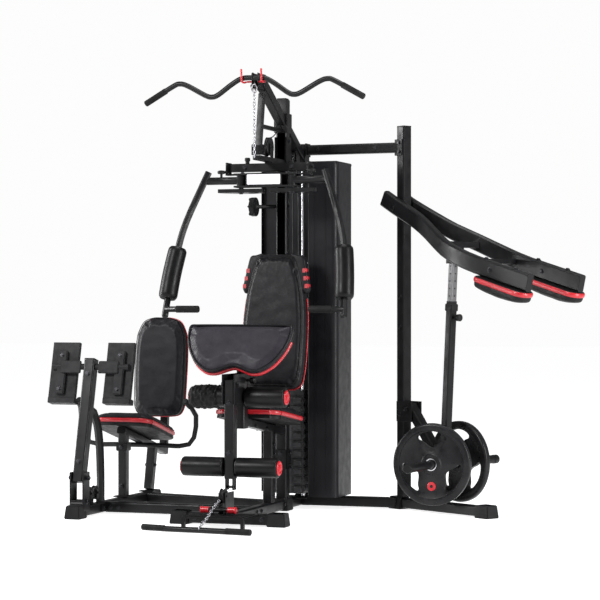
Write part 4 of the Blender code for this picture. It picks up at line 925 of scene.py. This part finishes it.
def build_fly_arms():
    route = [(0.3, -0.2405, 1.64), (0.312, -0.248, 1.612), (0.335, -0.262, 1.56), (0.373, -0.29, 1.46),
             (0.402, -0.312, 1.37), (0.42, -0.33, 1.285), (0.437, -0.368, 1.16), (0.446, -0.402, 1.04),
             (0.45, -0.425, 0.958)]
    foam_low, foam_high = 1.028, 1.2975
    grip = capped((0, 0.015), (0.002, 0.017), (0.112, 0.017), (0.116, 0.0145))
    cap = capped((0, 0.015), (0.003, 0.015), (0.006, 0.01))
    for side, name in SIDES:
        refined(f"fly_arm_{name}", FRAME_PAINT)
        body = f"fly_{name}"
        points = smooth_path([(side * x, y, z) for x, y, z in route], 0.012)
        part = [p for p in points if foam_low < p.z < foam_high]
        bm = bmesh.new()
        rings = []
        last = len(part) - 1
        for i, point in enumerate(part):
            along = (part[min(i + 1, last)] - part[max(i - 1, 0)]).normalized()
            across = along.cross(Y).normalized()
            lift = across.cross(along)
            radius = 0.0455 - 0.0085 * max(0.0, 1 - min(i, last - i) / 1.6) ** 2
            rings.append([bm.verts.new(point + across * a + lift * b) for a, b in circle(radius, 44)])
        skin(bm, rings)
        sleeve = piece(f"fly_foam_{name}_cover", bm, FOAM_SKIN, body, angle=50)
        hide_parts(f"fly_foam_{name}")
        turned(f"fly_grip_{name}", grip, (side * 0.394, -0.42, 0.99), (-side, 0, 0), STRAP_CLOTH, body, 32)
        turned(f"fly_end_cap_{name}", cap, (side * 0.4502, -0.4258, 0.956), (side * 0.04, -0.27, -0.96),
               KNOB_PLASTIC, body, 24)


def build_tower_pieces():
    for node in ("main_column", "top_boom", "top_crosspiece", "front_post", "top_link_bar", "squat_upright"):
        refined(node, FRAME_PAINT, bevel=0.0022)
    for _, name in SIDES:
        refined(f"guide_rod_{name}", CHROME)
    refined("press_arm_bracket", PLATE_PAINT, bevel=0.0008)
    refined("stack_shroud", SHROUD_PAINT, bevel=0.0006, angle=46)
    for node in ("high_pulley", "top_pulley", "low_pulley"):
        refined(node, KNOB_PLASTIC)
    low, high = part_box("stack_shroud")
    trim = [((0.112, 0.056, high.z - 0.012), (0.2605, 0.299, high.z + 0.004), 0.003)]
    trim += [((x - 0.0022, low.y - 0.0016, 0.085), (x + 0.0022, low.y + 0.003, high.z - 0.022), 0.001)
             for x in (0.148, 0.206)]
    boxes("shroud_trim", SHROUD_PAINT, trim)
    refined("adjuster_knob", KNOB_PLASTIC, angle=50)
    lobes = [((-0.03, 0.016, -0.006), (-0.004, 0.0495, 0.006), 0.004,
              Matrix.Translation(KNOB_AT) @ Matrix.Rotation(angle, 4, "X")) for angle in angles(6)]
    boxes("adjuster_lobes", KNOB_PLASTIC, lobes, "knob")


def build_stack_details():
    # The plates and their lugs take the lightened iron, whose grey is painted highlight over black iron.
    for node in ("weight_plates_resting", "weight_plates_selected", "weight_top_plate"):
        refined(node, PAINTED_LIGHT_PLATE_IRON, bevel=0.0008)
    refined("selector_pin", CHROME)
    low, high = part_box("weight_plates_resting")
    resting, selected = 8, 3
    pitch = (high.z - low.z) / resting
    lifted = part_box("weight_plates_selected")[0].z
    for body, count, start, name in (("frame", resting, low.z, "resting"),
                                     ("weights", selected, lifted, "selected")):
        bm = bmesh.new()
        for k in range(count):
            z = start + pitch * (k + 0.5)
            for y in (low.y + 0.022, high.y - 0.022):
                for x in (low.x, high.x):
                    add_box(bm, (x - 0.004, y - 0.014, z - 0.013), (x + 0.004, y + 0.014, z + 0.013), 0.0035)
            for x in (-0.045, 0.045):
                add_box(bm, (x - 0.0255, low.y - 0.011, z - 0.0165), (x + 0.0255, low.y + 0.006, z + 0.0165),
                        0.0065, segments=3)
        piece(f"plate_lugs_{name}", bm, PAINTED_LIGHT_PLATE_IRON, body)


# ---------------------------------------------------------------- middle seat hardware
def build_middle_hardware():
    refined("main_seat_frame", FRAME_PAINT, bevel=0.0018)
    refined("leg_developer_lever", FRAME_PAINT, bevel=0.0022)
    refined("preacher_post", PLATE_PAINT, bevel=0.001)
    fasteners("developer_pivot_bolts", both_sides(0.0328, [(DEVELOPER_Y, DEVELOPER_Z)]), radius=0.011)
    fasteners("seat_bolts", both_sides(0.0252, ((-0.2, 0.29), (-0.2, 0.335)))
              + both_sides(0.0252, ((-0.455, 0.441), (-0.3, 0.419))))
    boxes("lever_end_cap", KNOB_PLASTIC, [((-0.0235, -0.7435, 0.2115), (0.0235, -0.6965, 0.2165), 0.002)],
          "leg_developer")
    bm = bmesh.new()
    for side in (-1, 1):
        x = side * 0.0175
        add_box(bm, (x - 0.0025, -0.742, 0.16), (x + 0.0025, -0.698, 0.235), 0.0015)
    add_rod(bm, (-0.023, DEVELOPER_Y, 0.174), X, 0.046, 0.006, 20)
    piece("lever_chain_bracket", bm, PLATE_PAINT, "leg_developer")
    places = [((0, -0.7452, z), -Y) for z in (0.33, 0.56)]
    fasteners("developer_bolts", places + both_sides(0.0202, [(DEVELOPER_Y, 0.222)]), "leg_developer")
    boxes("post_socket_collar", PLATE_PAINT, [((-0.0265, -0.6085, 0.65), (0.0265, -0.5515, 0.6935), 0.003)])
    knob = capped((0, 0.006), (0.014, 0.006), (0.016, 0.014), (0.036, 0.016), (0.041, 0.011))
    turned("post_pull_knob", knob, (0.033, -0.59, 0.66), X, KNOB_PLASTIC, sides=24)


def build_front():
    for node in ("main_base_beam", "front_foot_bar", "press_base_beam", "left_cross_beam", "left_brace_beam",
                 "squat_base_beam", "rear_link_beam"):
        refined(node, FRAME_PAINT, bevel=0.0022)
    refined("foot_rest", PLATE_PAINT, bevel=0.0008)
    treads = [-0.9465 + 0.0195 * row for row in range(9)]
    boxes("foot_rest_treads", FOOT_RUBBER,
          [((-0.142, y, 0.0558), (0.142, y + 0.0105, 0.0585), 0.001) for y in treads])
    peg = capped((0, 0.012), (0.002, 0.014), (0.033, 0.014), (0.035, 0.0158), (0.038, 0.0158), (0.04, 0.013))
    for side, name in SIDES:
        turned(f"row_peg_{name}", peg, (side * 0.046, -0.875, 0.082), (side, 0, 0), RED_PLASTIC, sides=32)
    bar = [(-0.29, -1.065, 0.0135), (-0.15, -1.095, 0.0135), (0.0, -1.105, 0.0135), (0.25, -1.135, 0.0135)]
    made = round_tube("low_bar_tube", bar, 0.0128, FRAME_PAINT, "low_handle", 0.02, 28)
    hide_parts("low_bar")
    for name, a, b in (("left", (-0.29, -1.065, 0.0148), (-0.175, -1.0905, 0.0148)),
                       ("right", (0.25, -1.135, 0.0148), (0.13, -1.1195, 0.0148))):
        along = Vector(b) - Vector(a)
        end_grip(f"low_grip_{name}", a, along, along.length, "low_handle", 0.003, 0.0142, 0.0)
    eye("low_bar_eye", (0.0, -1.102, 0.0185), 0.013, 0.0028, 20, ZINC, "low_handle")


def build_lat_bar():
    half = [(0.0, 2.085), (0.055, 2.083), (0.105, 2.058), (0.175, 2.01), (0.206, 2.0), (0.24, 2.008),
            (0.33, 2.056), (0.372, 2.068), (0.41, 2.056), (0.545, 1.98)]
    route = [(-x, LAT_BAR_Y, z) for x, z in reversed(half[1:])] + [(x, LAT_BAR_Y, z) for x, z in half]
    bar = round_tube("lat_bar_tube", route, LAT_BAR_RADIUS, FRAME_PAINT, "lat_handle", 0.01, 28, up=Y)
    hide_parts("lat_bar")
    for side, name in SIDES:
        end_grip(f"lat_grip_{name}", (side * 0.548, LAT_BAR_Y, 1.9785), (-side * 0.135, 0, 0.076), 0.118,
                 "lat_handle", 0.004, sides=36)
    eye("lat_bar_eye", (0, LAT_BAR_Y, LAT_BAR_Z + 0.006), 0.0165, 0.0026, 24, BOLT_STEEL, "lat_handle")


# ---------------------------------------------------------------- leg press
def build_leg_press():
    refined("leg_press_lever", FRAME_PAINT, bevel=0.0014)
    refined("press_stop_tube", FRAME_PAINT)
    refined("side_seat_frame", FRAME_PAINT, bevel=0.0008)
    refined("foot_plates", FOOT_PLASTIC, bevel=0.0014)
    lean = Matrix.Translation(FOOT_TUBE) @ Matrix.Rotation(-FOOT_LEAN, 4, "X")
    ribs = []
    for side in (-1, 1):
        x = side * 0.152
        ribs.append(((x - 0.024, -0.01, -0.135), (x + 0.024, 0.0115, 0.078), 0.004, lean))
        low, high = sorted((side * 0.046, side * 0.15))
        ribs.append(((low, -0.0185, -0.034), (high, -0.006, 0.026), 0.003, lean))
        x = side * 0.144
        for k in range(7):
            z = -0.12 + 0.0335 * k
            ribs.append(((x - 0.062, 0.0305, z), (x + 0.062, 0.0345, z + 0.014), 0.0015, lean))
    boxes("foot_plate_ribs", FOOT_PLASTIC, ribs, "foot_rests")
    rear = lean.to_3x3() @ -Y
    places = [(lean @ Vector((side * 0.152, -0.0102, z)), rear) for side in (-1, 1) for z in (-0.11, 0.055)]
    fasteners("foot_plate_bolts", places, "foot_rests", 0.0075)
    top = aligned((PRESS_X, -0.5253, 0.745), PRESS_ARM)
    boxes("press_lever_cap", KNOB_PLASTIC, [((-0.001, -0.0265, -0.0265), (0.0055, 0.0265, 0.0265), 0.002, top)],
          "leg_press")
    face = PRESS_PIVOT + Vector((0, -0.0283, 0.0068))
    fasteners("press_lever_bolts", [(face + PRESS_ARM * d, Vector((0, -1, 0.243))) for d in (0.075, 0.5)],
              "leg_press")
    fasteners("press_pivot_bolts", both_sides(0.0472, [PRESS_PIVOT.yz], PRESS_X)
              + both_sides(0.0372, [(PRESS_PIVOT.y, 0.08)], PRESS_X), radius=0.01)
    pulleys = (-0.56, -0.488)
    pulley_z = 0.106
    bm = bmesh.new()
    for y in pulleys:
        for side in (-1, 1):
            x = PRESS_X + side * 0.0145
            add_box(bm, (x - 0.002, y - 0.014, 0.0565), (x + 0.002, y + 0.014, 0.124), 0.001)
        add_rod(bm, (PRESS_X - 0.022, y, pulley_z), X, 0.044, 0.006, 18)
    piece("press_pulley_brackets", bm, PLATE_PAINT)
    for k, y in enumerate(pulleys):
        wheel(f"press_pulley_{k}", (PRESS_X, y, pulley_z), 0.034)
    collars = [((PRESS_X - 0.029, -0.174, 0.285), (PRESS_X + 0.029, -0.116, 0.325), 0.003)]
    collars += [((PRESS_X - 0.04, y_front, BASE_TOP), (PRESS_X + 0.04, y_back, 0.0625), 0.002)
                for y_front, y_back in ((-0.185, -0.105), (0.132, 0.176))]
    boxes("side_seat_collars", PLATE_PAINT, collars)
    places = [((PRESS_X, -0.1752, z), -Y) for z in (0.11, 0.305)]
    fasteners("side_seat_bolts", places + both_sides(0.0227, [(0.2, 0.19)], PRESS_X))
    for side, name in SIDES:
        end_grip(f"side_grip_{name}", (PRESS_X + side * 0.289, -0.043, 0.532), (side * 0.014, 0.04, -0.032),
                 0.05, "frame")


# ---------------------------------------------------------------- squat station
def squat_sides(s, t, z):
    """Fastener places on both faces of a part of the squat station."""
    return [(squat(s, side * t, z), side * ACROSS) for side in (-1, 1)]


def build_squat_details():
    refined("squat_arms", FRAME_PAINT, bevel=0.0028)
    refined("squat_lever", PLATE_PAINT, bevel=0.0008)
    refined("strut_tube", FRAME_PAINT, bevel=0.0012)
    refined("strut_rod", ROD_STEEL, bevel=0.0008)
    refined("strut_knob", KNOB_PLASTIC, angle=50)
    top = Matrix.Rotation(SQUAT_TURN, 4, "Z") @ Matrix.Rotation(math.atan(0.26), 4, "Y") @ Z
    rows = [(squat(s, side * 0.17, z), top) for side in (-1, 1) for s, z in ((0.76, 1.2235), (0.95, 1.1743))]
    walls = [(squat(0.8, -0.1895, 1.17), -ACROSS), (squat(0.8, 0.1512, 1.17), -ACROSS)]
    fasteners("squat_arm_bolts", squat_sides(ARM_PIVOT[0], 0.0782, ARM_PIVOT[1]) + rows + walls,
              "squat_arm_swing", 0.0095)
    fasteners("squat_lever_bolts", squat_sides(0.005, 0.0337, 0.47))
    fasteners("squat_axle_bolts", squat_sides(LEVER_AXIS[0], 0.045, LEVER_AXIS[1])
              + squat_sides(STRUT_BOTTOM[0], 0.0362, STRUT_BOTTOM[1]), "squat_lever_swing", 0.0095)
    low, high = (Vector((s, 0, z)) for s, z in (STRUT_BOTTOM, STRUT_TOP))
    along = (high - low).normalized()

    def station(distance, t=0.0, out=0.0):
        point = low + along * distance
        return squat(point.x, t, point.z) + OUT * out

    place = aligned(station(0.69), station(1) - station(0))
    collar = [((-0.018, -0.0235, -0.0235), (0.017, 0.0235, 0.0235), 0.003, place),
              ((-0.03, -0.0176, -0.0176), (0.03, 0.0176, 0.0176), 0.0, place)]
    boxes("strut_collar", KNOB_PLASTIC, collar, "strut")
    bm = bmesh.new()
    for k in range(5):
        distance = 0.745 + 0.036 * k
        add_rod(bm, station(distance, 0.0, 0.0168), OUT, 0.0006, 0.0042, 16)
        add_rod(bm, station(distance, -0.0168), -ACROSS, 0.0006, 0.0042, 16)
    piece("strut_height_holes", bm, PAN_PLASTIC, "strut")
    hub = squat(HUB[0], 0, HUB[1])
    outside = HORN_RADIUS + 0.0012
    cap = capped((-0.028, outside), (-0.003, outside), (0.001, HORN_RADIUS - 0.0015), (0.001, 0.0125),
                 (-0.004, 0.0115))
    for name, (out, length) in HORNS.items():
        build_disc(name, hub + out * DISC_AT, out)
        turned(f"horn_cap_{name}", cap, hub + out * length, out, KNOB_PLASTIC, "squat_lever_swing", 36)


def grip_cutter():
    """A tool object for the three finger openings of a disc, about the X axis."""
    bm = bmesh.new()
    half = [(r * math.sin(a), r * math.cos(a)) for r, a in
            ((0.085, -0.14), (0.12, -0.42), (0.134, -0.53), (0.146, -0.54), (0.154, -0.46), (0.158, -0.25),
             (0.1595, 0.0))]
    grip = half + [(-y, z) for y, z in reversed(half[:-1])]
    path = smooth_path([Vector((0, y, z)) for y, z in grip], 0.006, closed=True)
    for angle in angles(3):
        turn = Matrix.Rotation(angle, 4, "X")
        skin(bm, [[bm.verts.new(turn @ (p + X * x)) for p in path] for x in (-0.05, 0.05)])
    bmesh.ops.recalc_face_normals(bm, faces=bm.faces)
    return add_object("grip_cutter", mesh_from("grip_cutter", bm))


def build_disc(name, centre, out):
    """A rubber tri-grip plate: rim, recessed web, hub ring, finger ribs and a plain red badge."""
    half, bore, rim = DISC_THICK / 2, HORN_RADIUS + 0.0017, DISC_RADIUS
    depths = [(0.0, bore), (-0.0015, bore + 0.004), (-0.0015, 0.036), (0.0, 0.04), (0.0, 0.048), (0.006, 0.053),
              (0.0075, 0.056), (0.0075, rim - 0.037), (0.006, rim - 0.034), (0.0, rim - 0.031),
              (0.0, rim - 0.012), (0.002, rim - 0.005), (0.006, rim - 0.001), (0.01, rim)]
    profile = [(depth - half, r) for depth, r in depths] + [(half - depth, r) for depth, r in reversed(depths)]
    bm = bmesh.new()
    add_turned(bm, profile, (0, 0, 0), X, 96)
    body = f"disc_{name}"
    disc = piece(f"disc_{name}_rubber", bm, DISC_RUBBER, body, angle=32)
    tool = grip_cutter()
    parent = disc.parent
    disc.parent = None
    disc.matrix_world = Matrix.Identity(4)
    carve = disc.modifiers.new("grips", "BOOLEAN")
    carve.object, carve.operation, carve.solver = tool, "DIFFERENCE", "EXACT"
    ease = disc.modifiers.new("ease", "BEVEL")
    ease.width, ease.segments, ease.limit_method, ease.angle_limit = 0.0032, 3, "ANGLE", math.radians(50)
    carved = bpy.data.meshes.new_from_object(disc.evaluated_get(bpy.context.evaluated_depsgraph_get()))
    disc.modifiers.clear()
    disc.data = carved
    bpy.data.objects.remove(tool)
    carved.transform(aligned(centre, out))
    carved.shade_smooth()
    carved.set_sharp_from_angle(angle=math.radians(35))
    carved.materials.clear()
    carved.materials.append(DISC_RUBBER.material)
    disc.parent = parent
    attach(disc, body)
    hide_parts(f"weight_disc_{name}")
    for face, sign in (("front", 1), ("back", -1)):
        facing = out * sign
        ring = [(0, 0.0232), (0, 0.0305), (0.0022, 0.03), (0.0028, 0.027), (0.0022, 0.024)]
        turned(f"disc_{name}_ring_{face}", ring, centre + facing * (half + 0.0012), facing, CHROME, body)
    place = aligned(centre, out)
    badge_at = place @ Vector((half - 0.0076, 0.0, -0.105))
    badge = capped((0, 0.0215), (0.0016, 0.0215), (0.0028, 0.0195), (0.0022, 0.0155))
    turned(f"disc_{name}_badge", badge, badge_at, out, RED_PLASTIC, body, 40)
    turned(f"disc_{name}_badge_centre", capped((0, 0.0075), (0.003, 0.0075), (0.0036, 0.006)), badge_at, out,
           DISC_RUBBER, body, 28)
    turns = [third + math.radians(-24 + 6 * k) for k in range(9) for third in angles(3)]
    ribs = [((-0.0125, -0.0045, 0.1585), (0.0125, 0.0045, 0.164), 0.0022, place @ Matrix.Rotation(turn, 4, "X"))
            for turn in turns]
    boxes(f"disc_{name}_finger_ribs", DISC_RUBBER, ribs, body)


# ---------------------------------------------------------------- studio
def area_light(name, at, aim, size, power, tall=None):
    data = bpy.data.lights.new(name, "AREA")
    data.shape = "RECTANGLE"
    data.size, data.size_y = size, tall or size
    data.energy = power
    lamp = add_object(name, data)
    lamp.location = at
    lamp.rotation_euler = (Vector(aim) - Vector(at)).to_track_quat("-Z", "Y").to_euler()


def build_studio():
    bm = bmesh.new()
    bmesh.ops.create_grid(bm, x_segments=1, y_segments=1, size=40)
    floor = add_object("floor", mesh_from("floor", bm))
    floor.location.z = -0.0005
    look = Look("pale_floor", None, (0.62, 0.62, 0.63, 1), 0.6,
                **{"Emission Color": WHITE, "Emission Strength": 0.82})
    floor.data.materials.append(look.material)

    world = bpy.data.worlds.new("studio")
    bpy.context.scene.world = world
    world.use_nodes = True
    nodes, links = world.node_tree.nodes, world.node_tree.links
    lighting, backdrop = nodes["Background"], nodes.new("ShaderNodeBackground")
    for background, strength in ((lighting, 0.25), (backdrop, 0.98)):
        background.inputs["Color"].default_value = WHITE
        background.inputs["Strength"].default_value = strength
    seen, mix = nodes.new("ShaderNodeLightPath"), nodes.new("ShaderNodeMixShader")
    links.new(seen.outputs["Is Camera Ray"], mix.inputs[0])
    links.new(lighting.outputs[0], mix.inputs[1])
    links.new(backdrop.outputs[0], mix.inputs[2])
    links.new(mix.outputs[0], nodes["World Output"].inputs["Surface"])
    area_light("key", (-3.2, -6.0, 4.6), (0, 0, 1.0), 1.7, 330)
    area_light("side_left", (-4.6, -0.6, 1.9), (0, 0, 1.0), 0.7, 230, 3.4)
    area_light("side_right", (5.0, -1.6, 2.1), (0.5, 0, 1.0), 0.7, 250, 3.4)
    area_light("over", (0.4, -0.8, 5.2), (0.2, -0.2, 1.0), 2.2, 120)
    camera = add_object("camera", bpy.data.cameras.new("camera"))
    camera.location = (3.4446, -9.745, 1.01)
    camera.rotation_euler = (math.radians(90), 0, math.radians(19))
    camera.data.lens, camera.data.sensor_width = 126, 36
    camera.data.shift_y = 5 / 600
    bpy.context.scene.camera = camera
    bpy.context.scene.view_settings.view_transform = "Standard"


build_tower_pieces()
build_front()
build_shoes()
build_frame_hardware()
build_hooks()
build_head()
build_fly_arms()
build_stack_details()
build_middle_hardware()
build_lat_bar()
build_leg_press()
build_squat_details()
build_soft_goods()
build_chains_and_cables()
build_cushions()
build_studio()
